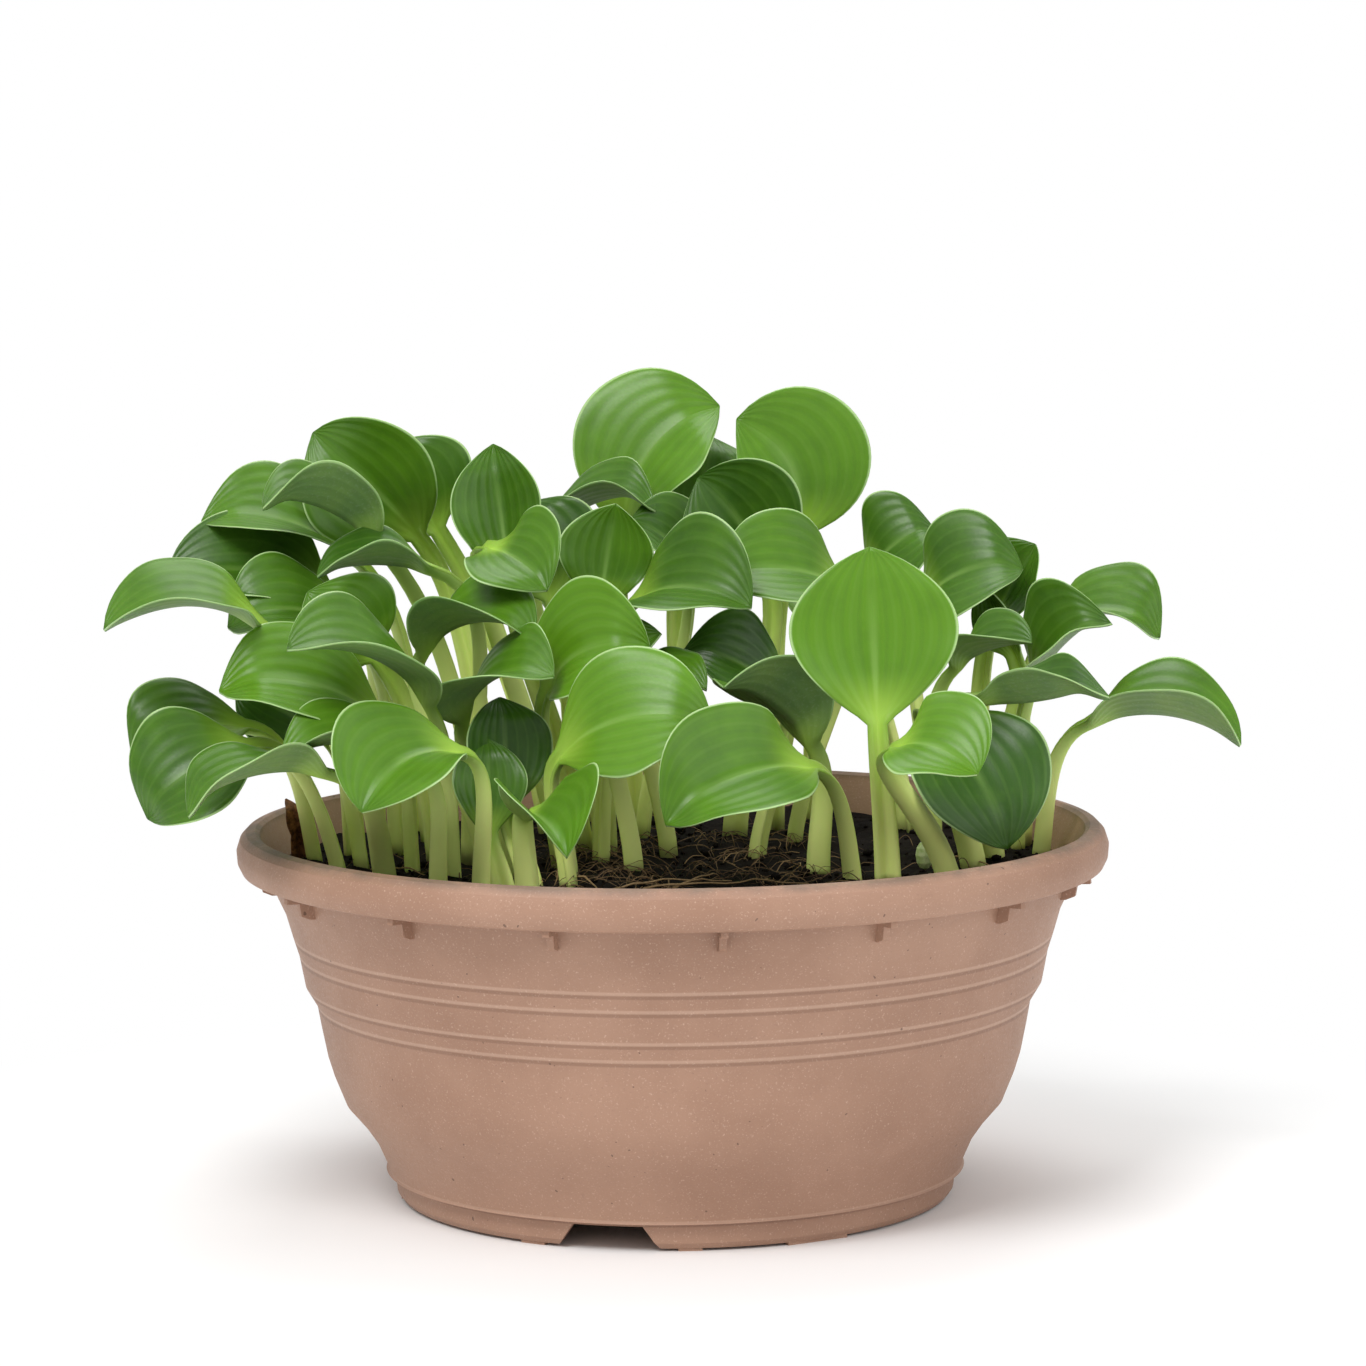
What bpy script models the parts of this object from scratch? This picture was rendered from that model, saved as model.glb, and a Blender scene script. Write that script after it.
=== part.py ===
"""Potted miniature hosta: a bowl-shaped plastic planter, its peat and its leaves.

Frame: metres, +Z up, origin on the floor under the middle of the pot, -Y towards the front.
Each leaf is one closed solid: a channelled stalk that widens into a folded, arched blade.
"""

import math

import bmesh
import bpy
import numpy as np

# Driving dimensions.
RIM_RADIUS = 0.1515
POT_HEIGHT = 0.130
FOOT_RADIUS = 0.0975
WALL = 0.0028
FLOOR_UNDERSIDE = 0.007
FLOOR_TOP = 0.010
GAP = 0.0004
TURN_STEPS = 64
SOIL_TOP = 0.118
SOIL_FLAT_RADIUS = 0.133

GUSSET_COUNT = 16
GUSSET_FIRST = 6.5
GUSSET_THICKNESS = 0.0024
NOTCH_COUNT = 3
NOTCH_AZIMUTH = -13.4
NOTCH_TOP_WIDTH = 0.024
NOTCH_BOTTOM_WIDTH = 0.036
NOTCH_HEIGHT = 0.0088
PAD_HEIGHT = 0.001
PAD_WIDTHS = ((-30.0, 0.009), (3.0, 0.008), (30.0, 0.023))
DRAIN_COUNT = 8
DRAIN_CIRCLE = 0.065
DRAIN_RADIUS = 0.005

BLADE_THICKNESS = 0.0010
STALK_AT_NECK = 0.0036
STALK_AT_ROOT = 0.0046
ROOT_GAP = 0.0005
TIP_HALF_WIDTH = 0.0005
FINE_STEPS = 40
STALK_STATIONS = 3
BLADE_STATIONS = 5
ACROSS = 4

# The pot's outer side, from under the rim's lip down to the step above the foot (radius, height).
POT_SIDE = (
    (0.1378, 0.1080), (0.1350, 0.1020), (0.1325, 0.0933), (0.1305, 0.0870),
    (0.1284, 0.0760), (0.1245, 0.0695), (0.1230, 0.0610), (0.1210, 0.0510),
    (0.1190, 0.0445), (0.1150, 0.0345), (0.1090, 0.0275), (0.1045, 0.0210),
    (0.1010, 0.0130), (0.1006, 0.0106),
)

# Leaves, clump by clump. Each row is: where the stalk leaves the soil (x, y); the neck, where
# the blade starts; the blade's tip; its width; the way its upper side faces; how far the left
# and the right half fold up, in degrees; and how far the midrib bows up and swings right.
LEAVES = {
    "left": (
        ((-0.048, -0.080), (-0.048, -0.088, 0.147), (-0.034, -0.124, 0.139),
         0.048, (-0.1, -0.1, 1), (40, 44), (0.003, 0)),
        ((-0.057, -0.066), (-0.062, -0.058, 0.136), (-0.062, -0.050, 0.167),
         0.024, (0.2, -1, 0.2), (10, 10), (0, 0)),
        ((-0.048, -0.056), (-0.056, -0.048, 0.143), (-0.057, -0.040, 0.180),
         0.030, (0.3, -1, 0.2), (15, 10), (0, 0)),
        ((-0.063, -0.076), (-0.069, -0.086, 0.167), (-0.101, -0.114, 0.151),
         0.046, (-0.4, -0.7, 0.6), (10, 30), (0.007, 0.003)),
        ((-0.078, -0.060), (-0.084, -0.067, 0.161), (-0.130, -0.089, 0.166),
         0.034, (-0.1, -0.4, 1), (30, 14), (0.007, 0)),
        ((-0.098, -0.034), (-0.114, -0.080, 0.160), (-0.160, -0.106, 0.152),
         0.038, (-0.1, -0.3, 1), (34, 0), (0.006, 0)),
        ((-0.114, -0.014), (-0.142, -0.050, 0.165), (-0.179, -0.064, 0.143),
         0.042, (-0.4, -0.9, 0.5), (6, 12), (0.007, 0)),
        ((-0.124, 0.010), (-0.146, -0.020, 0.168), (-0.187, -0.030, 0.158),
         0.042, (-0.2, -0.6, 0.8), (8, 8), (0.006, 0)),
        ((-0.112, 0.024), (-0.122, 0.016, 0.160), (-0.152, 0.010, 0.177),
         0.034, (-0.1, -0.9, 0.5), (10, 10), (0.003, 0)),
        ((-0.074, -0.040), (-0.081, -0.048, 0.178), (-0.127, -0.080, 0.201),
         0.050, (-0.1, -0.5, 0.9), (24, 6), (0.009, 0)),
        ((-0.088, -0.024), (-0.098, -0.036, 0.172), (-0.152, -0.060, 0.188),
         0.048, (-0.3, -0.6, 0.7), (8, 4), (0.008, 0)),
        ((-0.106, -0.012), (-0.138, -0.034, 0.204), (-0.191, -0.048, 0.204),
         0.048, (-0.1, -0.5, 0.9), (30, 0), (0.010, 0)),
        ((-0.082, 0.010), (-0.102, -0.007, 0.190), (-0.123, -0.019, 0.214),
         0.038, (0.2, -1, 0.3), (6, 8), (0.002, 0)),
        ((-0.096, 0.024), (-0.112, 0.004, 0.199), (-0.154, -0.010, 0.203),
         0.042, (-0.1, -0.6, 0.8), (10, 10), (0.007, 0)),
        ((-0.104, 0.044), (-0.118, 0.030, 0.207), (-0.176, 0.014, 0.217),
         0.046, (-0.1, -0.6, 0.8), (10, 18), (0.007, 0)),
        ((-0.086, 0.046), (-0.110, 0.044, 0.218), (-0.165, 0.026, 0.238),
         0.048, (-0.1, -0.6, 0.8), (24, 0), (0.008, 0)),
        ((-0.066, 0.024), (-0.102, 0.012, 0.228), (-0.140, -0.012, 0.246),
         0.040, (-0.2, -0.1, 1), (34, 34), (0.005, 0)),
        ((-0.064, 0.054), (-0.090, 0.054, 0.226), (-0.127, 0.044, 0.264),
         0.046, (-0.6, -0.7, 0.5), (20, 6), (0.006, 0.003)),
        ((-0.044, 0.068), (-0.084, 0.078, 0.226), (-0.104, 0.074, 0.257),
         0.044, (0.1, -0.9, 0.3), (5, 5), (0.002, 0)),
        ((-0.070, 0.006), (-0.082, -0.002, 0.220), (-0.122, -0.012, 0.220),
         0.034, (0, -0.1, 1), (22, 22), (0.003, 0)),
        ((-0.064, -0.012), (-0.086, -0.008, 0.192), (-0.046, -0.034, 0.201),
         0.044, (0.1, -0.4, 0.9), (16, 34), (0.008, 0)),
    ),
    "centre": (
        ((-0.032, 0.024), (-0.057, 0.026, 0.214), (-0.063, 0.036, 0.260),
         0.038, (-0.1, -1, 0.1), (32, 32), (-0.002, 0)),
        ((-0.038, -0.010), (-0.062, 0.002, 0.227), (-0.042, -0.024, 0.216),
         0.038, (0.3, -0.8, 0.6), (40, 0), (0.002, 0)),
        ((-0.034, 0.036), (-0.042, 0.036, 0.205), (-0.056, 0.048, 0.240),
         0.044, (0.3, -1, 0.2), (10, 10), (0.002, 0)),
        ((-0.024, 0.060), (-0.046, 0.072, 0.222), (-0.005, 0.054, 0.240),
         0.036, (0.1, -0.3, 1), (24, 24), (0.007, 0)),
        ((-0.014, 0.078), (-0.018, 0.088, 0.226), (0.018, 0.094, 0.271),
         0.054, (-0.3, -1, 0.3), (0, 26), (0.004, -0.008)),
        ((0.006, 0.098), (0.006, 0.112, 0.222), (0.016, 0.118, 0.258),
         0.044, (0.2, -1, 0.2), (5, 5), (0.002, 0)),
        ((0.036, 0.076), (0.044, 0.084, 0.222), (0.024, 0.084, 0.265),
         0.054, (0.2, -1, 0.3), (20, 0), (0.004, 0.010)),
        ((-0.024, 0.018), (-0.025, 0.020, 0.204), (-0.019, 0.022, 0.240),
         0.034, (0.1, -1, 0.2), (10, 26), (-0.002, 0)),
        ((-0.010, 0.056), (0.006, 0.062, 0.212), (-0.014, 0.050, 0.232),
         0.038, (0.1, -0.6, 0.8), (10, 10), (0.004, 0)),
        ((0.022, 0.056), (0.034, 0.060, 0.212), (0.010, 0.058, 0.246),
         0.046, (-0.2, -1, 0.3), (10, 10), (0.003, 0.003)),
        ((-0.002, 0.014), (-0.014, 0.012, 0.206), (0.028, -0.016, 0.208),
         0.048, (0.1, -0.6, 0.8), (34, 14), (0.007, 0)),
        ((0.044, 0.034), (0.062, 0.030, 0.208), (0.016, 0.008, 0.216),
         0.044, (-0.1, -0.7, 0.7), (12, 6), (0.007, 0)),
        ((-0.026, -0.002), (-0.020, -0.004, 0.180), (-0.004, -0.020, 0.199),
         0.024, (0.1, -0.7, 0.7), (15, 15), (0.003, 0)),
        ((-0.036, -0.034), (-0.043, -0.030, 0.180), (-0.009, -0.052, 0.199),
         0.046, (-0.1, -0.9, 0.5), (0, 30), (0.005, -0.005)),
        ((-0.052, -0.032), (-0.072, -0.028, 0.170), (-0.040, -0.060, 0.191),
         0.044, (0.1, -0.6, 0.8), (4, 24), (0.008, 0)),
        ((-0.036, -0.056), (-0.038, -0.064, 0.162), (0.014, -0.082, 0.176),
         0.046, (0.2, -0.8, 0.6), (0, 6), (0.008, -0.004)),
        ((-0.014, -0.018), (-0.018, -0.014, 0.177), (0.012, -0.036, 0.184),
         0.028, (0.1, -0.4, 0.9), (15, 20), (0.004, 0)),
        ((0.030, 0.002), (0.038, 0.002, 0.174), (0.004, -0.006, 0.193),
         0.034, (0, -0.7, 0.8), (10, 14), (0.005, 0)),
        ((0.050, -0.028), (0.048, -0.034, 0.162), (0.018, -0.058, 0.186),
         0.044, (0.3, 0.3, 1), (45, 0), (0.004, 0)),
    ),
    "right": (
        ((0.073, -0.050), (0.069, -0.064, 0.172), (0.067, -0.056, 0.231),
         0.052, (0, -1, 0.1), (4, 4), (-0.002, 0)),
        ((0.062, -0.046), (0.047, -0.070, 0.159), (-0.003, -0.104, 0.147),
         0.050, (0.1, -0.5, 0.9), (6, 36), (0.007, 0)),
        ((0.094, -0.052), (0.074, -0.088, 0.168), (0.100, -0.108, 0.161),
         0.042, (0.1, -0.5, 0.9), (34, 0), (0.005, 0)),
        ((0.104, -0.018), (0.088, -0.032, 0.172), (0.114, -0.062, 0.130),
         0.048, (0.4, -1, 0.3), (4, 8), (0.006, 0)),
        ((0.128, 0.010), (0.143, -0.002, 0.164), (0.196, -0.020, 0.159),
         0.040, (0.1, -0.3, 1), (28, 40), (0.008, 0)),
        ((0.112, -0.006), (0.102, -0.030, 0.177), (0.146, -0.046, 0.184),
         0.034, (0.1, -0.1, 1), (34, 34), (-0.003, 0)),
        ((0.090, 0.004), (0.098, 0.002, 0.184), (0.124, -0.016, 0.194),
         0.030, (0.1, -0.4, 0.9), (20, 30), (0.003, 0)),
        ((0.120, 0.020), (0.126, 0.008, 0.178), (0.149, -0.010, 0.203),
         0.044, (-0.5, -0.5, 0.7), (30, 34), (0.003, 0)),
        ((0.108, 0.032), (0.121, 0.030, 0.184), (0.110, 0.022, 0.209),
         0.018, (-0.6, -0.8, 0.2), (20, 20), (0, 0)),
        ((0.124, 0.042), (0.134, 0.044, 0.192), (0.174, 0.026, 0.194),
         0.042, (0, -0.5, 0.9), (14, 24), (0.008, 0)),
        ((0.110, 0.052), (0.116, 0.054, 0.196), (0.130, 0.048, 0.222),
         0.036, (-0.3, -0.8, 0.3), (8, 36), (0.002, 0)),
        ((0.092, 0.040), (0.089, 0.042, 0.202), (0.124, 0.026, 0.218),
         0.044, (0, -0.7, 0.7), (8, 8), (0.007, 0)),
        ((0.084, 0.066), (0.072, 0.076, 0.210), (0.096, 0.070, 0.228),
         0.036, (0, -0.7, 0.7), (8, 8), (0.005, 0)),
    ),
    "back": (
        ((-0.030, 0.098), (-0.040, 0.110, 0.190), (-0.062, 0.146, 0.194),
         0.050, (0, 0.5, 0.8), (14, 16), (0.007, 0)),
        ((0.052, 0.096), (0.056, 0.108, 0.184), (0.072, 0.146, 0.186),
         0.050, (0.2, 0.6, 0.8), (16, 12), (0.007, 0)),
        ((-0.092, 0.066), (-0.108, 0.084, 0.182), (-0.144, 0.112, 0.186),
         0.046, (-0.4, 0.5, 0.8), (16, 12), (0.006, 0)),
    ),
}

BUD_PLACE = (0.086, -0.036)
BUD_HEIGHT = 0.010
BUD_RADIUS = 0.0032
SHEATH = (
    (-0.130, 0.014), (-0.131, 0.012, 0.124), (-0.134, 0.008, 0.138),
    0.007, (0.3, -1, 0), (24, 24), (0.001, 0),
)

COLOURS = {
    "pot": ((0.42, 0.25, 0.18), 0.62),
    "soil": ((0.014, 0.010, 0.008), 0.95),
    "leaf": ((0.10, 0.27, 0.045), 0.42),
    "bud": ((0.42, 0.55, 0.22), 0.5),
    "sheath": ((0.22, 0.09, 0.04), 0.8),
}


def fresh_collection(name):
    """A new collection in the scene."""
    group = bpy.data.collections.new(name)
    bpy.context.scene.collection.children.link(group)
    return group


def material(name):
    """A plain Principled material with the named colour and roughness."""
    colour, roughness = COLOURS[name]
    made = bpy.data.materials.new(name)
    made.use_nodes = True
    shader = made.node_tree.nodes["Principled BSDF"]
    shader.inputs["Base Color"].default_value = (*colour, 1.0)
    shader.inputs["Roughness"].default_value = roughness
    shader.inputs["Metallic"].default_value = 0.0
    made.diffuse_color = (*colour, 1.0)
    return made


def new_object(name, mesh, group, look):
    """An object for the mesh in the group, with its material."""
    thing = bpy.data.objects.new(name, mesh)
    group.objects.link(thing)
    if look is not None:
        mesh.materials.append(look)
    return thing


def turned(name, profile, closed, group, look):
    """A profile of (radius, height) points turned about the Z axis with a Screw modifier."""
    mesh = bpy.data.meshes.new(name)
    count = len(profile)
    edges = [(i, i + 1) for i in range(count - 1)]
    if closed:
        edges.append((count - 1, 0))
    mesh.from_pydata([(radius, 0.0, height) for radius, height in profile], edges, [])
    thing = new_object(name, mesh, group, look)
    screw = thing.modifiers.new("turn", "SCREW")
    screw.axis = "Z"
    screw.angle = math.tau
    screw.steps = TURN_STEPS
    screw.render_steps = TURN_STEPS
    screw.use_merge_vertices = True
    screw.merge_threshold = 0.00001
    screw.use_smooth_shade = True
    return thing


def spot(azimuth, radius, height):
    """A point by its azimuth in degrees from the front, positive to the right."""
    angle = math.radians(azimuth)
    return (radius * math.sin(angle), -radius * math.cos(angle), height)


def pot_profile():
    """The pot's whole section: rim, lip, side, foot, floor, and back up the inside."""
    rim = [
        (0.1450, POT_HEIGHT), (0.1482, 0.1294), (0.1503, 0.1272), (RIM_RADIUS, 0.1235),
        (0.1512, 0.1195), (0.1498, 0.1166), (0.1484, 0.1160), (0.1477, 0.1200),
        (0.1458, 0.1248), (0.1430, 0.1240), (0.1402, 0.1180),
    ]
    foot = [
        (0.1012, 0.0101), (0.0982, 0.0096), (FOOT_RADIUS, 0.0030), (0.0960, PAD_HEIGHT),
        (0.0930, PAD_HEIGHT), (0.0928, FLOOR_UNDERSIDE), (0.0060, FLOOR_UNDERSIDE),
        (0.0060, FLOOR_TOP),
    ]
    inside = inner_side()
    top = [(0.1425, 0.1265), (0.1434, 0.1290)]
    return rim + list(POT_SIDE) + foot + inside + top


def inner_side():
    """The inside of the wall, bottom to top, one wall's thickness in from the outer side."""
    lifted = [(radius - WALL, height + 0.25 * WALL) for radius, height in POT_SIDE[:-2]]
    return [(0.0955, FLOOR_TOP)] + lifted[::-1] + [(0.1374, 0.1180)]


def gusset(shape, azimuth):
    """One thin fin under the rim: a shelf out to the lip and a shorter leg down the wall."""
    outline = (
        (0.1475, 0.1215), (0.1482, 0.1140), (0.1436, 0.1138), (0.1428, 0.1095),
        (0.1396, 0.1082), (0.1370, 0.1082), (0.1385, 0.1160), (0.1400, 0.1215),
    )
    angle = math.radians(azimuth)
    side = (math.cos(angle), math.sin(angle), 0.0)
    rings = []
    for sign in (-0.5, 0.5):
        ring = []
        for radius, height in outline:
            x, y, z = spot(azimuth, radius, height)
            shift = sign * GUSSET_THICKNESS
            ring.append(shape.verts.new((x + side[0] * shift, y + side[1] * shift, z)))
        rings.append(ring)
    count = len(outline)
    faces = [shape.faces.new(rings[0]), shape.faces.new(rings[1][::-1])]
    for i in range(count):
        j = (i + 1) % count
        faces.append(shape.faces.new((rings[0][i], rings[1][i], rings[1][j], rings[0][j])))
    bmesh.ops.recalc_face_normals(shape, faces=faces)


def block(shape, azimuth, radii, heights, bottom_width, top_width):
    """A radial block between two radii and two heights, as wide at the bottom and top as given."""
    made = bmesh.ops.create_cube(shape, size=1.0)["verts"]
    angle = math.radians(azimuth)
    for vert in made:
        low = vert.co.z < 0
        width = bottom_width if low else top_width
        radius = radii[0] if vert.co.y < 0 else radii[1]
        across = width * (0.5 if vert.co.x > 0 else -0.5)
        x, y, z = spot(azimuth, radius, heights[0] if low else heights[1])
        vert.co = (x + across * math.cos(angle), y + across * math.sin(angle), z)
    bmesh.ops.recalc_face_normals(shape, faces=shape.faces[:])


def boolean(target, name, operation, shape, cutters):
    """A Boolean on the target with the given shape, kept as a wire object among the cutters."""
    mesh = bpy.data.meshes.new(name)
    shape.to_mesh(mesh)
    shape.free()
    tool = new_object(name, mesh, cutters, None)
    tool.hide_render = True
    tool.display_type = "WIRE"
    change = target.modifiers.new(name, "BOOLEAN")
    change.operation = operation
    change.object = tool
    change.solver = "EXACT"


def build_pot(group, cutters):
    """The planter: turned, then gussets and pads added, then notches and drain holes cut."""
    pot = turned("pot", pot_profile(), True, group, material("pot"))
    ribs = bmesh.new()
    for index in range(GUSSET_COUNT):
        gusset(ribs, GUSSET_FIRST + index * 360.0 / GUSSET_COUNT)
    boolean(pot, "gussets", "UNION", ribs, cutters)
    pads = bmesh.new()
    for turn in range(NOTCH_COUNT):
        for azimuth, width in PAD_WIDTHS:
            block(pads, azimuth + 120.0 * turn, (0.0934, 0.0956), (0.0, 0.002), width, width)
    boolean(pot, "pads", "UNION", pads, cutters)
    cuts = bmesh.new()
    slope = (NOTCH_BOTTOM_WIDTH - NOTCH_TOP_WIDTH) / NOTCH_HEIGHT
    below = 0.001
    for turn in range(NOTCH_COUNT):
        azimuth = NOTCH_AZIMUTH + 120.0 * turn
        wide = NOTCH_BOTTOM_WIDTH + slope * below
        block(cuts, azimuth, (0.088, 0.104), (-below, NOTCH_HEIGHT), wide, NOTCH_TOP_WIDTH)
    for index in range(DRAIN_COUNT):
        made = bmesh.ops.create_cone(
            cuts, cap_ends=True, segments=12, radius1=DRAIN_RADIUS, radius2=DRAIN_RADIUS, depth=0.012
        )["verts"]
        place = spot(index * 360.0 / DRAIN_COUNT, DRAIN_CIRCLE, 0.5 * (FLOOR_UNDERSIDE + FLOOR_TOP))
        bmesh.ops.translate(cuts, verts=made, vec=place)
    boolean(pot, "cuts", "DIFFERENCE", cuts, cutters)


def build_soil(group):
    """The peat: it fills the pot, one gap clear of it, to a nearly level top."""
    side = [(radius - GAP, height) for radius, height in inner_side()[1:-1]]
    bottom = FLOOR_TOP + GAP
    profile = [(0.0, SOIL_TOP), (SOIL_FLAT_RADIUS, SOIL_TOP), (0.1355, SOIL_TOP - 0.0025)]
    profile += [point for point in side[::-1] if bottom < point[1] < SOIL_TOP - 0.003]
    profile += [(0.0948, bottom), (0.0, bottom)]
    turned("soil", profile, False, group, material("soil"))


def unit(vector):
    """The vector at length one."""
    return vector / np.linalg.norm(vector)


def blade_half_width(u):
    """How wide the blade is along its length, 1 at the widest: narrow neck, round far end."""
    rise, fall = 0.95, 0.62
    widest = rise / (rise + fall)
    peak = widest**rise * (1.0 - widest) ** fall
    return u**rise * max(1.0 - u, 0.0) ** fall / peak


def leaf_spine(leaf):
    """Points, directions and upward directions at fine steps: the stalk's, then the blade's."""
    root_xy, neck, tip, _, facing, _, (bow, swing) = leaf
    root = np.array((*root_xy, SOIL_TOP + ROOT_GAP))
    neck = np.array(neck)
    tip = np.array(tip)
    chord = tip - neck
    face = np.array(facing, float)
    face = unit(face - np.dot(face, unit(chord)) * unit(chord))
    middle = 0.5 * (neck + tip) + 2.0 * bow * face + 2.0 * swing * np.cross(unit(chord), face)
    steps = np.linspace(0.0, 1.0, FINE_STEPS + 1)[:, None]
    blade = (1 - steps) ** 2 * neck + 2 * steps * (1 - steps) * middle + steps**2 * tip
    reach = np.linalg.norm(neck - root)
    lean = unit((neck - root) * (0.5, 0.5, 1.0) + np.array((0.0, 0.0, 0.3 * reach)))
    first = root + 0.4 * reach * lean
    second = neck - 0.3 * reach * unit(middle - neck)
    stalk = (1 - steps) ** 3 * root + 3 * steps * (1 - steps) ** 2 * first
    stalk = stalk + 3 * steps**2 * (1 - steps) * second + steps**3 * neck
    points = np.vstack([stalk, blade[1:]])
    along = np.gradient(points, axis=0)
    along = along / np.linalg.norm(along, axis=1)[:, None]
    upward = np.zeros_like(points)
    for index in range(FINE_STEPS, len(points)):
        upward[index] = unit(face - np.dot(face, along[index]) * along[index])
    for index in range(FINE_STEPS - 1, -1, -1):
        carried = upward[index + 1]
        upward[index] = unit(carried - np.dot(carried, along[index]) * along[index])
    return points, along, upward


def leaf_rings(leaf, stalk_stations, blade_stations, across):
    """Closed rings of points from the root to the tip, each across the top and back below."""
    width, folds = leaf[3], leaf[5]
    points, along, upward = leaf_spine(leaf)
    stations = [round(FINE_STEPS * i / stalk_stations) for i in range(stalk_stations)]
    stations += [round(FINE_STEPS * (1 + i / blade_stations)) for i in range(blade_stations + 1)]
    spread = np.linspace(-1.0, 1.0, across + 1)
    rings = []
    for station in stations:
        u = station / FINE_STEPS - 1.0
        blade = min(max(u / 0.25, 0.0), 1.0)
        blade = blade * blade * (3.0 - 2.0 * blade)
        thin = STALK_AT_NECK + (STALK_AT_ROOT - STALK_AT_NECK) * min(max(-u, 0.0), 1.0)
        half = thin
        if u > 0.0:
            half = max(math.hypot(thin * (1.0 - u), 0.5 * width * blade_half_width(u)), TIP_HALF_WIDTH)
        side = np.cross(along[station], upward[station])
        ring = []
        for top in (True, False):
            for v in spread if top else spread[-2:0:-1]:
                fold = math.radians(folds[0] if v < 0 else folds[1]) * (0.35 + 0.65 * blade)
                rise = half * math.sin(fold) * (math.hypot(v, 0.12) - 0.12)
                round_off = math.sqrt(max(1.0 - v * v, 0.0))
                stalk_part = thin * (0.35 if top else -0.9) * round_off
                blade_part = BLADE_THICKNESS * (0.5 if top else -0.5) * min(1.0, 3.0 * round_off)
                lift = rise + (1.0 - blade) * stalk_part + blade * blade_part
                ring.append(points[station] + side * half * v * math.cos(fold) + upward[station] * lift)
        rings.append(ring)
    for point in rings[0]:
        point[2] = points[0][2]
    return rings


def loft(name, rings, group, look):
    """A closed mesh through the rings, capped at both ends, with its faces turned out."""
    shape = bmesh.new()
    rows = [[shape.verts.new(point) for point in ring] for ring in rings]
    for lower, upper in zip(rows, rows[1:]):
        for i in range(len(lower)):
            j = (i + 1) % len(lower)
            shape.faces.new((lower[i], lower[j], upper[j], upper[i]))
    shape.faces.new(rows[0][::-1])
    shape.faces.new(rows[-1])
    bmesh.ops.recalc_face_normals(shape, faces=shape.faces[:])
    mesh = bpy.data.meshes.new(name)
    shape.to_mesh(mesh)
    shape.free()
    mesh.shade_smooth()
    return new_object(name, mesh, group, look)


def build_leaves(group):
    """Every leaf of every clump."""
    look = material("leaf")
    for clump, leaves in LEAVES.items():
        for number, leaf in enumerate(leaves, start=1):
            rings = leaf_rings(leaf, STALK_STATIONS, BLADE_STATIONS, ACROSS)
            loft(f"{clump}_leaf_{number:02d}", rings, group, look)


def build_bud(group):
    """A short pale shoot, standing on the soil."""
    shape = bmesh.new()
    bmesh.ops.create_uvsphere(shape, u_segments=10, v_segments=6, radius=1.0)
    for vert in shape.verts:
        vert.co.x *= BUD_RADIUS
        vert.co.y *= BUD_RADIUS
        vert.co.z *= 0.5 * BUD_HEIGHT
    mesh = bpy.data.meshes.new("shoot_bud")
    shape.to_mesh(mesh)
    shape.free()
    mesh.shade_smooth()
    bud = new_object("shoot_bud", mesh, group, material("bud"))
    bud.location = (*BUD_PLACE, SOIL_TOP + ROOT_GAP + 0.5 * BUD_HEIGHT)


def build_sheath(group):
    """A dried, curled sheath at the foot of the outermost stalks."""
    loft("dried_sheath", leaf_rings(SHEATH, 2, 4, ACROSS), group, material("sheath"))


def main():
    """Clear the scene and build the plant."""
    for thing in list(bpy.data.objects):
        bpy.data.objects.remove(thing, do_unlink=True)
    group = fresh_collection("potted_hosta")
    cutters = fresh_collection("cutters")
    build_pot(group, cutters)
    build_soil(group)
    build_leaves(group)
    build_bud(group)
    build_sheath(group)


if __name__ == "__main__":
    main()
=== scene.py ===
"""Looks for the potted miniature hosta: planter, peat, root fibres, leaves, shoot, sheath and stage.

Frame: metres, +Z up, origin on the floor under the middle of the pot, -Y towards the front.
"""
import math
import random

import bmesh
import bpy
import numpy as np
from bpy.props import FloatProperty, FloatVectorProperty, IntProperty, PointerProperty
from mathutils import Euler, Matrix, Vector, noise


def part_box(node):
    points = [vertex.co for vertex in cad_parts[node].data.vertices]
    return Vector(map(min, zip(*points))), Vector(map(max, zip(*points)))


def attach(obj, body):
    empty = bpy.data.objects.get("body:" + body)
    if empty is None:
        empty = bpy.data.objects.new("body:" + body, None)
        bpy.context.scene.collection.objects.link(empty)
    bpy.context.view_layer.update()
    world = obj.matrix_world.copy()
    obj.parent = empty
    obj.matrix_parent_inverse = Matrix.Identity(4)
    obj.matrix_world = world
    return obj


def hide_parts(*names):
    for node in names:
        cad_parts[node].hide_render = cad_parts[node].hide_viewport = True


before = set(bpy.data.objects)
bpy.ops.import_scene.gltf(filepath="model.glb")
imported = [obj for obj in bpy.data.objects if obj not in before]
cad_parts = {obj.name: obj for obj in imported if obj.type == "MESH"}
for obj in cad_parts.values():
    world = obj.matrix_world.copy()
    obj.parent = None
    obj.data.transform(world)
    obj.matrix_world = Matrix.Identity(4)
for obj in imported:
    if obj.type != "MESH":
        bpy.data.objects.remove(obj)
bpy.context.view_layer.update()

bl_info = {
    "name": "Potted hosta",
    "version": (1, 0, 0),
    "blender": (4, 5, 0),
    "location": "View3D > Sidebar > Hosta",
    "description": "Builds the planter, peat and leaves of a potted miniature hosta",
    "category": "Add Mesh",
}

BODY = "root"
POT_LOW, POT_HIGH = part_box("pot")
SOIL_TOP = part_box("soil")[1][2]

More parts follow.
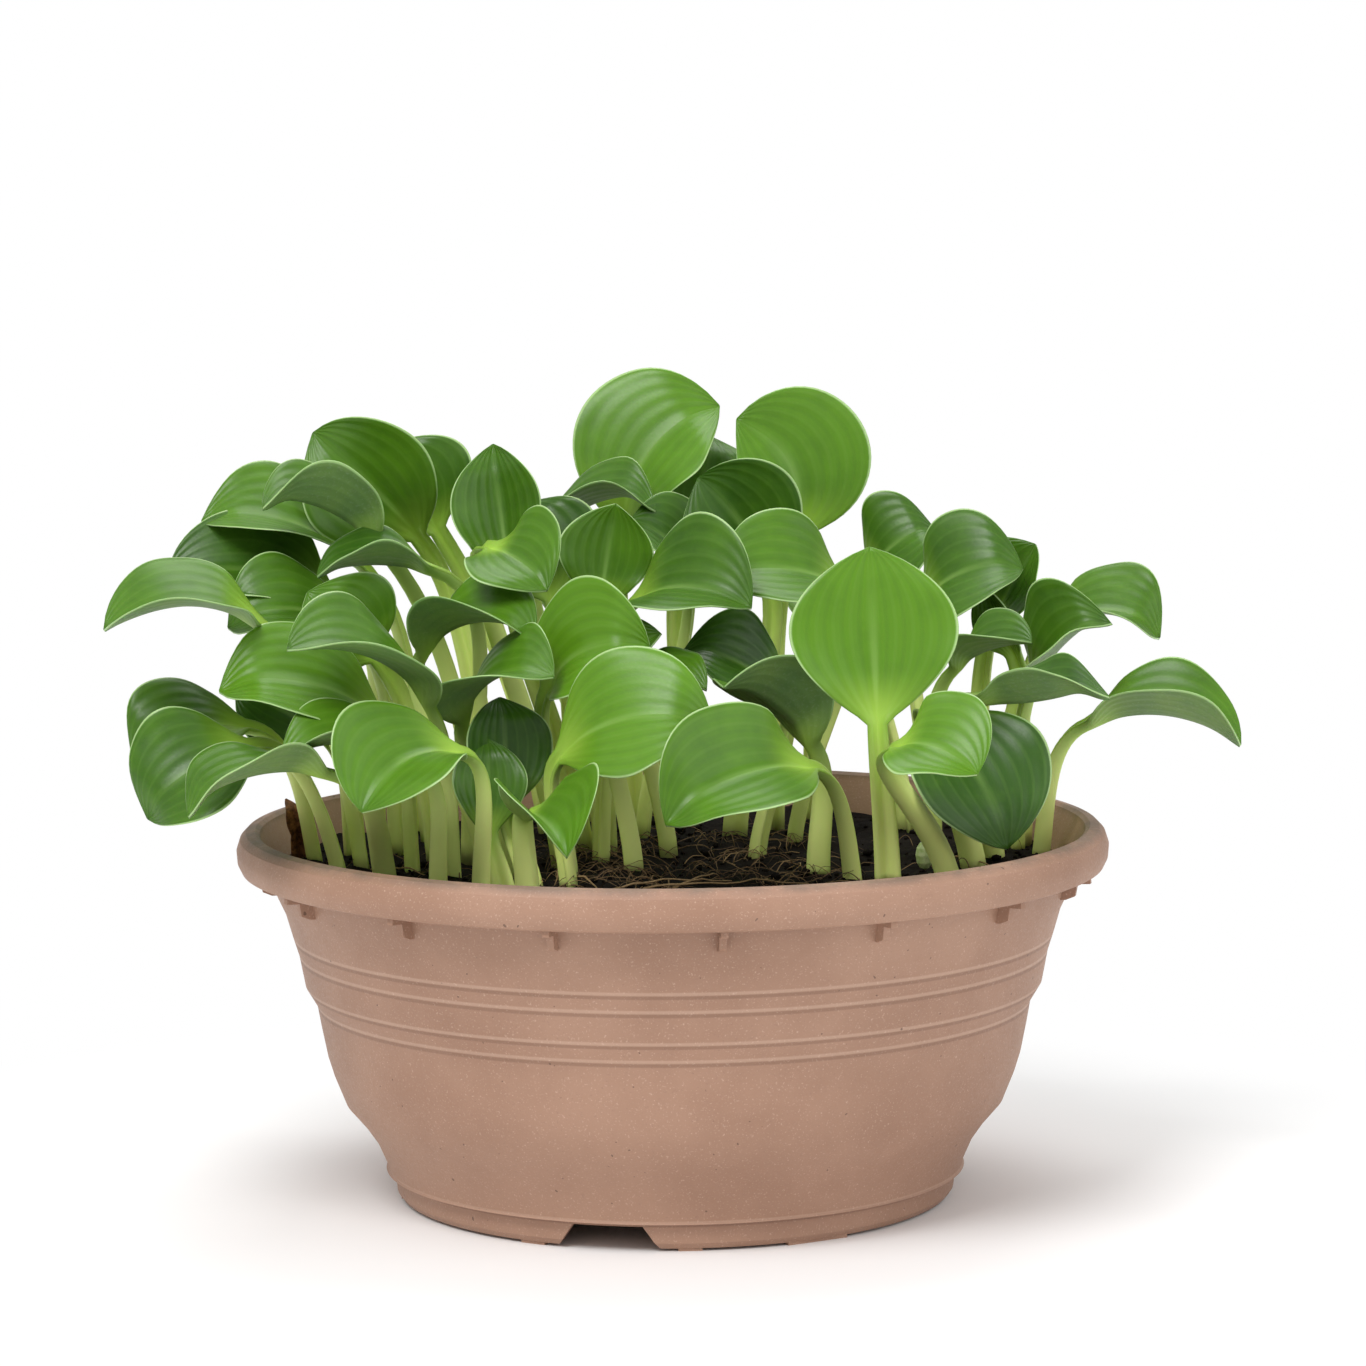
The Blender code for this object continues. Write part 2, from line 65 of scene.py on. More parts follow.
# The planter's own sizes, as its solid has them.
RIM_RADIUS = 0.5 * (POT_HIGH[0] - POT_LOW[0])
POT_HEIGHT = POT_HIGH[2]
FLOOR_UNDERSIDE = 0.007
FLOOR_TOP = 0.010
FOOT_RADIUS = 0.0975
WALL = 0.0028
GUSSET_COUNT = 16
GUSSET_FIRST = 6.5
GUSSET_THICKNESS = 0.0024
NOTCH_COUNT = 3
NOTCH_AZIMUTH = -13.4
NOTCH_TOP_WIDTH = 0.024
NOTCH_BOTTOM_WIDTH = 0.036
NOTCH_HEIGHT = 0.0088
PAD_HEIGHT = 0.001
PAD_WIDTHS = ((-30.0, 0.009), (3.0, 0.008), (30.0, 0.023))
DRAIN_COUNT = 8
DRAIN_CIRCLE = 0.065
DRAIN_RADIUS = 0.005
# Heights of the fine raised lines round the planter, each with a painted highlight and a painted shade
# band.
STEP_LINES = (0.0933, 0.0870, 0.0760, 0.0695, 0.0106)
# The pot's outer side, from under the rim's lip down to the step above the foot (radius, height).
POT_SIDE = (
    (0.1378, 0.1080), (0.1350, 0.1020), (0.1325, 0.0933), (0.1305, 0.0870),
    (0.1284, 0.0760), (0.1245, 0.0695), (0.1230, 0.0610), (0.1210, 0.0510),
    (0.1190, 0.0445), (0.1150, 0.0345), (0.1090, 0.0275), (0.1045, 0.0210),
    (0.1010, 0.0130), (0.1006, 0.0106),
)

# The peat: how far its top reaches, the gap to the wall, and how finely it is made.
PEAT_REACH = 0.1362
PEAT_GAP = 0.0004
PEAT_SECTIONS = 220
PEAT_RINGS = 80

# Straws lying on the bare ground: start, middle and end (x, y).
STRAWS = (
    ((-0.010, -0.070), (0.018, -0.058), (0.046, -0.060)),
    ((-0.020, -0.074), (0.0, -0.062), (0.020, -0.050)),
    ((-0.034, -0.050), (-0.030, -0.062), (-0.024, -0.074)),
    ((0.000, -0.066), (0.010, -0.055), (0.016, -0.040)),
    ((0.092, -0.010), (0.104, -0.018), (0.112, -0.030)),
    ((-0.104, -0.020), (-0.096, -0.034), (-0.084, -0.040)),
)
STRAW_RADIUS = 0.0005
STRAW_STEPS = 12
# The share of the fibres on the bare ground, and that ground's limits in x and in y.
FRONT_SHARE = 0.62
FRONT_X = (-0.045, 0.050)
FRONT_Y = (-0.075, 0.04)
FIBRE_STEPS = 8

# The leaves' places, clump by clump. Each row is: where the stalk leaves the soil (x, y); the
# neck, where the blade starts; the blade's tip; its width; the way its upper side faces; how far
# the left and the right half fold up, in degrees; and how far the midrib bows up and swings right.
LEAVES = {
    "left": (
        ((-0.048, -0.080), (-0.048, -0.088, 0.147), (-0.034, -0.124, 0.139),
         0.048, (-0.1, -0.1, 1), (40, 44), (0.003, 0)),
        ((-0.057, -0.066), (-0.062, -0.058, 0.136), (-0.062, -0.050, 0.167),
         0.024, (0.2, -1, 0.2), (10, 10), (0, 0)),
        ((-0.048, -0.056), (-0.056, -0.048, 0.143), (-0.057, -0.040, 0.180),
         0.030, (0.3, -1, 0.2), (15, 10), (0, 0)),
        ((-0.063, -0.076), (-0.069, -0.086, 0.167), (-0.101, -0.114, 0.151),
         0.046, (-0.4, -0.7, 0.6), (10, 30), (0.007, 0.003)),
        ((-0.078, -0.060), (-0.084, -0.067, 0.161), (-0.130, -0.089, 0.166),
         0.034, (-0.1, -0.4, 1), (30, 14), (0.007, 0)),
        ((-0.098, -0.034), (-0.114, -0.080, 0.160), (-0.160, -0.106, 0.152),
         0.038, (-0.1, -0.3, 1), (34, 0), (0.006, 0)),
        ((-0.114, -0.014), (-0.142, -0.050, 0.165), (-0.179, -0.064, 0.143),
         0.042, (-0.4, -0.9, 0.5), (6, 12), (0.007, 0)),
        ((-0.124, 0.010), (-0.146, -0.020, 0.168), (-0.187, -0.030, 0.158),
         0.042, (-0.2, -0.6, 0.8), (8, 8), (0.006, 0)),
        ((-0.112, 0.024), (-0.122, 0.016, 0.160), (-0.152, 0.010, 0.177),
         0.034, (-0.1, -0.9, 0.5), (10, 10), (0.003, 0)),
        ((-0.074, -0.040), (-0.081, -0.048, 0.178), (-0.127, -0.080, 0.201),
         0.050, (-0.1, -0.5, 0.9), (24, 6), (0.009, 0)),
        ((-0.088, -0.024), (-0.098, -0.036, 0.172), (-0.152, -0.060, 0.188),
         0.048, (-0.3, -0.6, 0.7), (8, 4), (0.008, 0)),
        ((-0.106, -0.012), (-0.138, -0.034, 0.204), (-0.191, -0.048, 0.204),
         0.048, (-0.1, -0.5, 0.9), (30, 0), (0.010, 0)),
        ((-0.082, 0.010), (-0.102, -0.007, 0.190), (-0.123, -0.019, 0.214),
         0.038, (0.2, -1, 0.3), (6, 8), (0.002, 0)),
        ((-0.096, 0.024), (-0.112, 0.004, 0.199), (-0.154, -0.010, 0.203),
         0.042, (-0.1, -0.6, 0.8), (10, 10), (0.007, 0)),
        ((-0.104, 0.044), (-0.118, 0.030, 0.207), (-0.176, 0.014, 0.217),
         0.046, (-0.1, -0.6, 0.8), (10, 18), (0.007, 0)),
        ((-0.086, 0.046), (-0.110, 0.044, 0.218), (-0.165, 0.026, 0.238),
         0.048, (-0.1, -0.6, 0.8), (24, 0), (0.008, 0)),
        ((-0.066, 0.024), (-0.102, 0.012, 0.228), (-0.140, -0.012, 0.246),
         0.040, (-0.2, -0.1, 1), (34, 34), (0.005, 0)),
        ((-0.064, 0.054), (-0.090, 0.054, 0.226), (-0.127, 0.044, 0.264),
         0.046, (-0.6, -0.7, 0.5), (20, 6), (0.006, 0.003)),
        ((-0.044, 0.068), (-0.084, 0.078, 0.226), (-0.104, 0.074, 0.257),
         0.044, (0.1, -0.9, 0.3), (5, 5), (0.002, 0)),
        ((-0.070, 0.006), (-0.082, -0.002, 0.220), (-0.122, -0.012, 0.220),
         0.034, (0, -0.1, 1), (22, 22), (0.003, 0)),
        ((-0.064, -0.012), (-0.086, -0.008, 0.192), (-0.046, -0.034, 0.201),
         0.044, (0.1, -0.4, 0.9), (16, 34), (0.008, 0)),
    ),
    "centre": (
        ((-0.032, 0.024), (-0.057, 0.026, 0.214), (-0.063, 0.036, 0.260),
         0.038, (-0.1, -1, 0.1), (32, 32), (-0.002, 0)),
        ((-0.038, -0.010), (-0.062, 0.002, 0.227), (-0.042, -0.024, 0.216),
         0.038, (0.3, -0.8, 0.6), (40, 0), (0.002, 0)),
        ((-0.034, 0.036), (-0.042, 0.036, 0.205), (-0.056, 0.048, 0.240),
         0.044, (0.3, -1, 0.2), (10, 10), (0.002, 0)),
        ((-0.024, 0.060), (-0.046, 0.072, 0.222), (-0.005, 0.054, 0.240),
         0.036, (0.1, -0.3, 1), (24, 24), (0.007, 0)),
        ((-0.014, 0.078), (-0.018, 0.088, 0.226), (0.018, 0.094, 0.271),
         0.054, (-0.3, -1, 0.3), (0, 26), (0.004, -0.008)),
        ((0.006, 0.098), (0.006, 0.112, 0.222), (0.016, 0.118, 0.258),
         0.044, (0.2, -1, 0.2), (5, 5), (0.002, 0)),
        ((0.036, 0.076), (0.044, 0.084, 0.222), (0.024, 0.084, 0.265),
         0.054, (0.2, -1, 0.3), (20, 0), (0.004, 0.010)),
        ((-0.024, 0.018), (-0.025, 0.020, 0.204), (-0.019, 0.022, 0.240),
         0.034, (0.1, -1, 0.2), (10, 26), (-0.002, 0)),
        ((-0.010, 0.056), (0.006, 0.062, 0.212), (-0.014, 0.050, 0.232),
         0.038, (0.1, -0.6, 0.8), (10, 10), (0.004, 0)),
        ((0.022, 0.056), (0.034, 0.060, 0.212), (0.010, 0.058, 0.246),
         0.046, (-0.2, -1, 0.3), (10, 10), (0.003, 0.003)),
        ((-0.002, 0.014), (-0.014, 0.012, 0.206), (0.028, -0.016, 0.208),
         0.048, (0.1, -0.6, 0.8), (34, 14), (0.007, 0)),
        ((0.044, 0.034), (0.062, 0.030, 0.208), (0.016, 0.008, 0.216),
         0.044, (-0.1, -0.7, 0.7), (12, 6), (0.007, 0)),
        ((-0.026, -0.002), (-0.020, -0.004, 0.180), (-0.004, -0.020, 0.199),
         0.024, (0.1, -0.7, 0.7), (15, 15), (0.003, 0)),
        ((-0.036, -0.034), (-0.043, -0.030, 0.180), (-0.009, -0.052, 0.199),
         0.046, (-0.1, -0.9, 0.5), (0, 30), (0.005, -0.005)),
        ((-0.052, -0.032), (-0.072, -0.028, 0.170), (-0.040, -0.060, 0.191),
         0.044, (0.1, -0.6, 0.8), (4, 24), (0.008, 0)),
        ((-0.036, -0.056), (-0.038, -0.064, 0.162), (0.014, -0.082, 0.176),
         0.046, (0.2, -0.8, 0.6), (0, 6), (0.008, -0.004)),
        ((-0.014, -0.018), (-0.018, -0.014, 0.177), (0.012, -0.036, 0.184),
         0.028, (0.1, -0.4, 0.9), (15, 20), (0.004, 0)),
        ((0.030, 0.002), (0.038, 0.002, 0.174), (0.004, -0.006, 0.193),
         0.034, (0, -0.7, 0.8), (10, 14), (0.005, 0)),
        ((0.050, -0.028), (0.048, -0.034, 0.162), (0.018, -0.058, 0.186),
         0.044, (0.3, 0.3, 1), (45, 0), (0.004, 0)),
    ),
    "right": (
        ((0.073, -0.050), (0.069, -0.064, 0.172), (0.067, -0.056, 0.231),
         0.052, (0, -1, 0.1), (4, 4), (-0.002, 0)),
        ((0.062, -0.046), (0.047, -0.070, 0.159), (-0.003, -0.104, 0.147),
         0.050, (0.1, -0.5, 0.9), (6, 36), (0.007, 0)),
        ((0.094, -0.052), (0.074, -0.088, 0.168), (0.100, -0.108, 0.161),
         0.042, (0.1, -0.5, 0.9), (34, 0), (0.005, 0)),
        ((0.104, -0.018), (0.088, -0.032, 0.172), (0.114, -0.062, 0.130),
         0.048, (0.4, -1, 0.3), (4, 8), (0.006, 0)),
        ((0.128, 0.010), (0.143, -0.002, 0.164), (0.196, -0.020, 0.159),
         0.040, (0.1, -0.3, 1), (28, 40), (0.008, 0)),
        ((0.112, -0.006), (0.102, -0.030, 0.177), (0.146, -0.046, 0.184),
         0.034, (0.1, -0.1, 1), (34, 34), (-0.003, 0)),
        ((0.090, 0.004), (0.098, 0.002, 0.184), (0.124, -0.016, 0.194),
         0.030, (0.1, -0.4, 0.9), (20, 30), (0.003, 0)),
        ((0.120, 0.020), (0.126, 0.008, 0.178), (0.149, -0.010, 0.203),
         0.044, (-0.5, -0.5, 0.7), (30, 34), (0.003, 0)),
        ((0.108, 0.032), (0.121, 0.030, 0.184), (0.110, 0.022, 0.209),
         0.018, (-0.6, -0.8, 0.2), (20, 20), (0, 0)),
        ((0.124, 0.042), (0.134, 0.044, 0.192), (0.174, 0.026, 0.194),
         0.042, (0, -0.5, 0.9), (14, 24), (0.008, 0)),
        ((0.110, 0.052), (0.116, 0.054, 0.196), (0.130, 0.048, 0.222),
         0.036, (-0.3, -0.8, 0.3), (8, 36), (0.002, 0)),
        ((0.092, 0.040), (0.089, 0.042, 0.202), (0.124, 0.026, 0.218),
         0.044, (0, -0.7, 0.7), (8, 8), (0.007, 0)),
        ((0.084, 0.066), (0.072, 0.076, 0.210), (0.096, 0.070, 0.228),
         0.036, (0, -0.7, 0.7), (8, 8), (0.005, 0)),
    ),
    "back": (
        ((-0.030, 0.098), (-0.040, 0.110, 0.190), (-0.062, 0.146, 0.194),
         0.050, (0, 0.5, 0.8), (14, 16), (0.007, 0)),
        ((0.052, 0.096), (0.056, 0.108, 0.184), (0.072, 0.146, 0.186),
         0.050, (0.2, 0.6, 0.8), (16, 12), (0.007, 0)),
        ((-0.092, 0.066), (-0.108, 0.084, 0.182), (-0.144, 0.112, 0.186),
         0.046, (-0.4, 0.5, 0.8), (16, 12), (0.006, 0)),
    ),
}
# The dried sheath, in the same form.
SHEATH = (
    (-0.130, 0.014), (-0.131, 0.012, 0.124), (-0.134, 0.008, 0.138),
    0.007, (0.3, -1, 0), (24, 24), (0.001, 0),
)
SHEATH_THICKNESS = 0.0006

# How far below the soil's top each stalk goes, and the stalk's half-widths at its two ends.
ROOT_DEPTH = 0.003
STALK_AT_NECK = 0.0034
STALK_AT_ROOT = 0.0046
TIP_HALF_WIDTH = 0.0004
# How much wider and how many degrees more folded a blade is than its plain solid.
WIDEN = 1.12
EXTRA_FOLD = 9.0
# The range of curl at the tip, the two ripples at the edge, and the groove and rib at the middle.
TIP_CURL = (-0.0065, 0.0010)
LONG_RIPPLE = 0.0018
SHORT_RIPPLE = 0.0004
GROOVE_DEPTH = 0.0006
RIB_DEPTH = 0.0009
# How finely a leaf is made: steps along its curves, rings on the stalk and blade, points across.
FINE_STEPS = 60
STALK_STATIONS = 15
BLADE_STATIONS = 30
ACROSS = 22

# Each leaf's share of new growth: 0 is an old, dark leaf and 1 a young, bright one.
TONES = {
    "left_leaf_01": 0.8, "left_leaf_02": 0.3, "left_leaf_03": 0.05, "left_leaf_04": 0.7,
    "left_leaf_05": 0.7, "left_leaf_06": 0.45, "left_leaf_07": 0.3, "left_leaf_08": 0.35,
    "left_leaf_09": 0.1, "left_leaf_10": 0.45, "left_leaf_11": 0.9, "left_leaf_12": 0.55,
    "left_leaf_13": 0.6, "left_leaf_14": 0.4, "left_leaf_15": 0.15, "left_leaf_16": 0.6,
    "left_leaf_17": 0.4, "left_leaf_18": 0.55, "left_leaf_19": 0.3, "left_leaf_20": 0.1,
    "left_leaf_21": 0.6, "centre_leaf_01": 0.35, "centre_leaf_02": 0.6, "centre_leaf_03": 0.1,
    "centre_leaf_04": 0.35, "centre_leaf_05": 0.85, "centre_leaf_06": 0.4, "centre_leaf_07": 0.9,
    "centre_leaf_08": 0.5, "centre_leaf_09": 0.2, "centre_leaf_10": 0.1, "centre_leaf_11": 0.35,
    "centre_leaf_12": 0.6, "centre_leaf_13": 0.45, "centre_leaf_14": 1.0, "centre_leaf_15": 0.55,
    "centre_leaf_16": 1.0, "centre_leaf_17": 0.5, "centre_leaf_18": 0.1, "centre_leaf_19": 0.7,
    "right_leaf_01": 1.0, "right_leaf_02": 0.6, "right_leaf_03": 0.95, "right_leaf_04": 0.0,
    "right_leaf_05": 0.55, "right_leaf_06": 0.15, "right_leaf_07": 0.3, "right_leaf_08": 0.35,
    "right_leaf_09": 0.2, "right_leaf_10": 0.5, "right_leaf_11": 0.35, "right_leaf_12": 0.3,
    "right_leaf_13": 0.3, "back_leaf_01": 0.5, "back_leaf_02": 0.6, "back_leaf_03": 0.4,
}


# The stage: floor, surrounding light, lamps (name, place, size, power) and camera.
FLOOR_HALF_SIZE = 30.0
FLOOR_COLOUR = (0.93, 0.93, 0.93)
FLOOR_FADE = (0.19, 0.36)
SURROUND_LIGHT = 0.58
LAMP_AIM = (0.0, 0.0, 0.12)
LAMPS = (
    ("key", (-0.55, -1.10, 1.60), 0.8, 24.0),
    ("fill", (1.30, -0.90, 0.90), 1.2, 6.0),
    ("top", (0.10, 0.60, 1.70), 1.0, 10.0),
)
CAMERA_PLACE = (0.004, -1.765, 0.388)
CAMERA_LENS = 134.9
CAMERA_DOWN = 6.75
CAMERA_ROLL = -0.45


class PlanterSettings(bpy.types.PropertyGroup):
    """Colours and fineness of the planter."""

    plastic: FloatVectorProperty(
        name="Plastic", description="Colour of the planter's plastic",
        subtype="COLOR", size=3, min=0.0, max=1.0, default=(0.40, 0.235, 0.160))
    plastic_shade: FloatVectorProperty(
        name="Plastic, dull", description="Colour of the plastic where it is dull",
        subtype="COLOR", size=3, min=0.0, max=1.0, default=(0.33, 0.185, 0.122))
    weathering: FloatVectorProperty(
        name="Weathering", description="Colour of the film on the rim",
        subtype="COLOR", size=3, min=0.0, max=1.0, default=(0.19, 0.135, 0.10))
    steps: IntProperty(
        name="Steps", description="Sides of the turned planter", min=64, max=512, default=240)


class PeatSettings(bpy.types.PropertyGroup):
    """Colours and roughness of the peat and its root fibres."""

    peat: FloatVectorProperty(
        name="Peat", description="Colour of the moist peat",
        subtype="COLOR", size=3, min=0.0, max=1.0, default=(0.007, 0.005, 0.004))
    fibre: FloatVectorProperty(
        name="Fibre", description="Colour of dry root fibres and straw",
        subtype="COLOR", size=3, min=0.0, max=1.0, default=(0.36, 0.23, 0.11))
    lump: FloatProperty(
        name="Lump height", description="How far the peat rises and falls",
        unit="LENGTH", min=0.0, max=0.01, default=0.0028)
    crumbs: IntProperty(name="Crumbs", description="Number of loose crumbs", min=0, max=4000, default=900)
    fibres: IntProperty(name="Fibres", description="Number of root fibres", min=0, max=2000, default=420)


class LeafSettings(bpy.types.PropertyGroup):
    """Colours and thickness of the leaves."""

    young: FloatVectorProperty(
        name="Young leaf", description="Upper side of a young leaf",
        subtype="COLOR", size=3, min=0.0, max=1.0, default=(0.100, 0.245, 0.009))
    old: FloatVectorProperty(
        name="Old leaf", description="Upper side of an old leaf",
        subtype="COLOR", size=3, min=0.0, max=1.0, default=(0.030, 0.092, 0.006))
    under: FloatVectorProperty(
        name="Underside", description="The bloomed underside",
        subtype="COLOR", size=3, min=0.0, max=1.0, default=(0.170, 0.280, 0.075))
    stalk: FloatVectorProperty(
        name="Stalk", description="The stalk at the soil",
        subtype="COLOR", size=3, min=0.0, max=1.0, default=(0.780, 0.880, 0.280))
    margin: FloatVectorProperty(
        name="Margin", description="The thin pale line round the blade",
        subtype="COLOR", size=3, min=0.0, max=1.0, default=(0.420, 0.600, 0.260))
    thickness: FloatProperty(
        name="Blade thickness", description="Thickness of a blade", unit="LENGTH",
        min=0.0002, max=0.003, default=0.0009)


def piece(name, mesh, look, slot, *nodes):
    """An object for the mesh that rides on the root body, in place of the named nodes."""
    thing = bpy.data.objects.new(name, mesh)
    bpy.context.scene.collection.objects.link(thing)
    mesh.materials.clear()
    mesh.materials.append(look)
    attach(thing, BODY)
    if nodes:
        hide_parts(*nodes)
    return thing


class Nodes:
    """Short calls for building one material's node tree."""

    def __init__(self, name):
        self.material = bpy.data.materials.new(name)
        self.material.use_nodes = True
        self.tree = self.material.node_tree
        self.shader = self.tree.nodes["Principled BSDF"]

    def add(self, kind, **values):
        """A node of the kind, with its settings."""
        made = self.tree.nodes.new(kind)
        for key, value in values.items():
            setattr(made, key, value)
        return made

    def link(self, source, target):
        """Joins an output to an input."""
        self.tree.links.new(source, target)

    def put(self, target, value):
        """Sets an input to a number or colour, or links it to an output."""
        if isinstance(value, bpy.types.NodeSocket):
            self.link(value, target)
        elif hasattr(value, "__len__"):
            short = len(value) == 3 and len(target.default_value) == 4
            target.default_value = (*value, 1.0) if short else value
        else:
            target.default_value = value

    def attribute(self, name):
        """A number stored on the mesh."""
        return self.add("ShaderNodeAttribute", attribute_name=name).outputs["Fac"]

    def position(self):
        """The place on the object, in metres."""
        return self.add("ShaderNodeTexCoord").outputs["Object"]

    def noise(self, scale, detail=2.0, roughness=0.5):
        """Fractal noise of about `scale` features to the metre."""
        made = self.add("ShaderNodeTexNoise")
        made.inputs["Scale"].default_value = scale
        made.inputs["Detail"].default_value = detail
        made.inputs["Roughness"].default_value = roughness
        self.link(self.position(), made.inputs["Vector"])
        return made.outputs["Fac"]

    def math(self, operation, first, second=0.0, clamp=False):
        """One arithmetic step."""
        made = self.add("ShaderNodeMath", operation=operation, use_clamp=clamp)
        self.put(made.inputs[0], first)
        self.put(made.inputs[1], second)
        return made.outputs[0]

    def ramp(self, value, low, high, start=0.0, end=1.0):
        """The value stretched from low..high to start..end, smoothly and clamped."""
        made = self.add("ShaderNodeMapRange", interpolation_type="SMOOTHSTEP")
        self.put(made.inputs["Value"], value)
        made.inputs["From Min"].default_value = low
        made.inputs["From Max"].default_value = high
        made.inputs["To Min"].default_value = start
        made.inputs["To Max"].default_value = end
        return made.outputs["Result"]

    def mix(self, factor, first, second):
        """A colour between two."""
        made = self.add("ShaderNodeMix", data_type="RGBA")
        self.put(made.inputs[0], factor)
        self.put(made.inputs[6], first)
        self.put(made.inputs[7], second)
        return made.outputs[2]

    def bump(self, height, distance, strength=1.0, under=None):
        """A bump of the height, on top of another bump if one is given."""
        made = self.add("ShaderNodeBump")
        made.inputs["Distance"].default_value = distance
        made.inputs["Strength"].default_value = strength
        self.put(made.inputs["Height"], height)
        if under is not None:
            self.link(under, made.inputs["Normal"])
        return made.outputs["Normal"]

    def finish(self, colour, roughness, normal=None, specular=0.5):
        """Sends the results to the shader."""
        self.put(self.shader.inputs["Base Color"], colour)
        self.put(self.shader.inputs["Roughness"], roughness)
        self.shader.inputs["Specular IOR Level"].default_value = specular
        if normal is not None:
            self.link(normal, self.shader.inputs["Normal"])
        return self.material


def plastic_material(settings):
    """Fine-grained, dusty moulded plastic, with a film on the rim's top, scuffs low down, and a painted
    highlight and painted shade at each step line.
    """
    n = Nodes("planter_plastic")
    place = n.add("ShaderNodeSeparateXYZ")
    n.link(n.position(), place.inputs[0])
    height = place.outputs["Z"]
    broad = n.noise(14.0, 4.0, 0.6)
    grain = n.noise(900.0, 2.0, 0.6)
    speck = n.noise(1500.0, 1.0, 0.5)
    colour = n.mix(n.ramp(broad, 0.35, 0.7), tuple(settings.plastic), tuple(settings.plastic_shade))
    light = n.math("MULTIPLY", n.ramp(speck, 0.60, 0.78), 0.45)
    colour = n.mix(light, colour, (0.66, 0.47, 0.37))
    dark = n.math("MULTIPLY", n.ramp(grain, 0.42, 0.25), 0.35)
    colour = n.mix(dark, colour, (0.28, 0.15, 0.10))
    for step in STEP_LINES:
        # Painted light: a painted highlight along each raised line and a painted shade band just below it.
        painted_ridge_highlight = n.ramp(n.math("ABSOLUTE", n.math("SUBTRACT", height, step)), 0.0008, 0.0003)
        shade = n.ramp(n.math("ABSOLUTE", n.math("SUBTRACT", height, step - 0.0013)), 0.0009, 0.0003)
        colour = n.mix(n.math("MULTIPLY", shade, 0.38), colour, (0.15, 0.075, 0.045))
        colour = n.mix(n.math("MULTIPLY", painted_ridge_highlight, 0.35), colour, (0.62, 0.43, 0.33))
    top = n.ramp(height, 0.1270, 0.1297)
    patchy = n.ramp(n.noise(60.0, 5.0, 0.65), 0.30, 0.62)
    film = n.math("MULTIPLY", n.math("MULTIPLY", top, patchy), 0.75)
    colour = n.mix(film, colour, tuple(settings.weathering))
    scuffs = n.ramp(n.noise(260.0, 6.0, 0.75), 0.66, 0.74)
    area = n.ramp(n.noise(22.0, 2.0, 0.5), 0.56, 0.66)
    low = n.ramp(height, 0.095, 0.075)
    scuff = n.math("MULTIPLY", n.math("MULTIPLY", scuffs, area), low)
    colour = n.mix(n.math("MULTIPLY", scuff, 0.6), colour, (0.75, 0.62, 0.54))
    spots = n.ramp(n.noise(420.0, 1.0, 0.4), 0.775, 0.80)
    colour = n.mix(n.math("MULTIPLY", spots, 0.7), colour, (0.09, 0.05, 0.035))
    rough = n.ramp(grain, 0.3, 0.7, 0.50, 0.68)
    normal = n.bump(grain, 0.00022, 0.55)
    normal = n.bump(n.noise(320.0, 3.0, 0.5), 0.00025, 0.35, normal)
    return n.finish(colour, rough, normal, 0.45)


def peat_material(settings):
    """Near-black crumbly peat with brown flecks."""
    n = Nodes("peat")
    fine = n.noise(700.0, 6.0, 0.7)
    coarse = n.noise(120.0, 4.0, 0.6)
    colour = n.mix(n.ramp(coarse, 0.35, 0.75), tuple(settings.peat), (0.013, 0.009, 0.006))
    colour = n.mix(n.math("MULTIPLY", n.ramp(fine, 0.62, 0.76), 0.3), colour, (0.07, 0.042, 0.024))
    normal = n.bump(fine, 0.0010, 0.9)
    normal = n.bump(coarse, 0.0020, 0.6, normal)
    return n.finish(colour, n.ramp(fine, 0.3, 0.7, 0.85, 1.0), normal, 0.08)


def fibre_material(settings):
    """Dry fibres, from dark brown to straw."""
    n = Nodes("root_fibre")
    tone = n.attribute("tone")
    colour = n.mix(tone, (0.075, 0.045, 0.025), tuple(settings.fibre))
    streak = n.noise(2200.0, 2.0, 0.5)
    colour = n.mix(n.math("MULTIPLY", n.ramp(streak, 0.4, 0.7), 0.35), colour, (0.12, 0.07, 0.03))
    return n.finish(colour, n.ramp(streak, 0.3, 0.7, 0.65, 0.9), n.bump(streak, 0.0001, 0.5), 0.3)


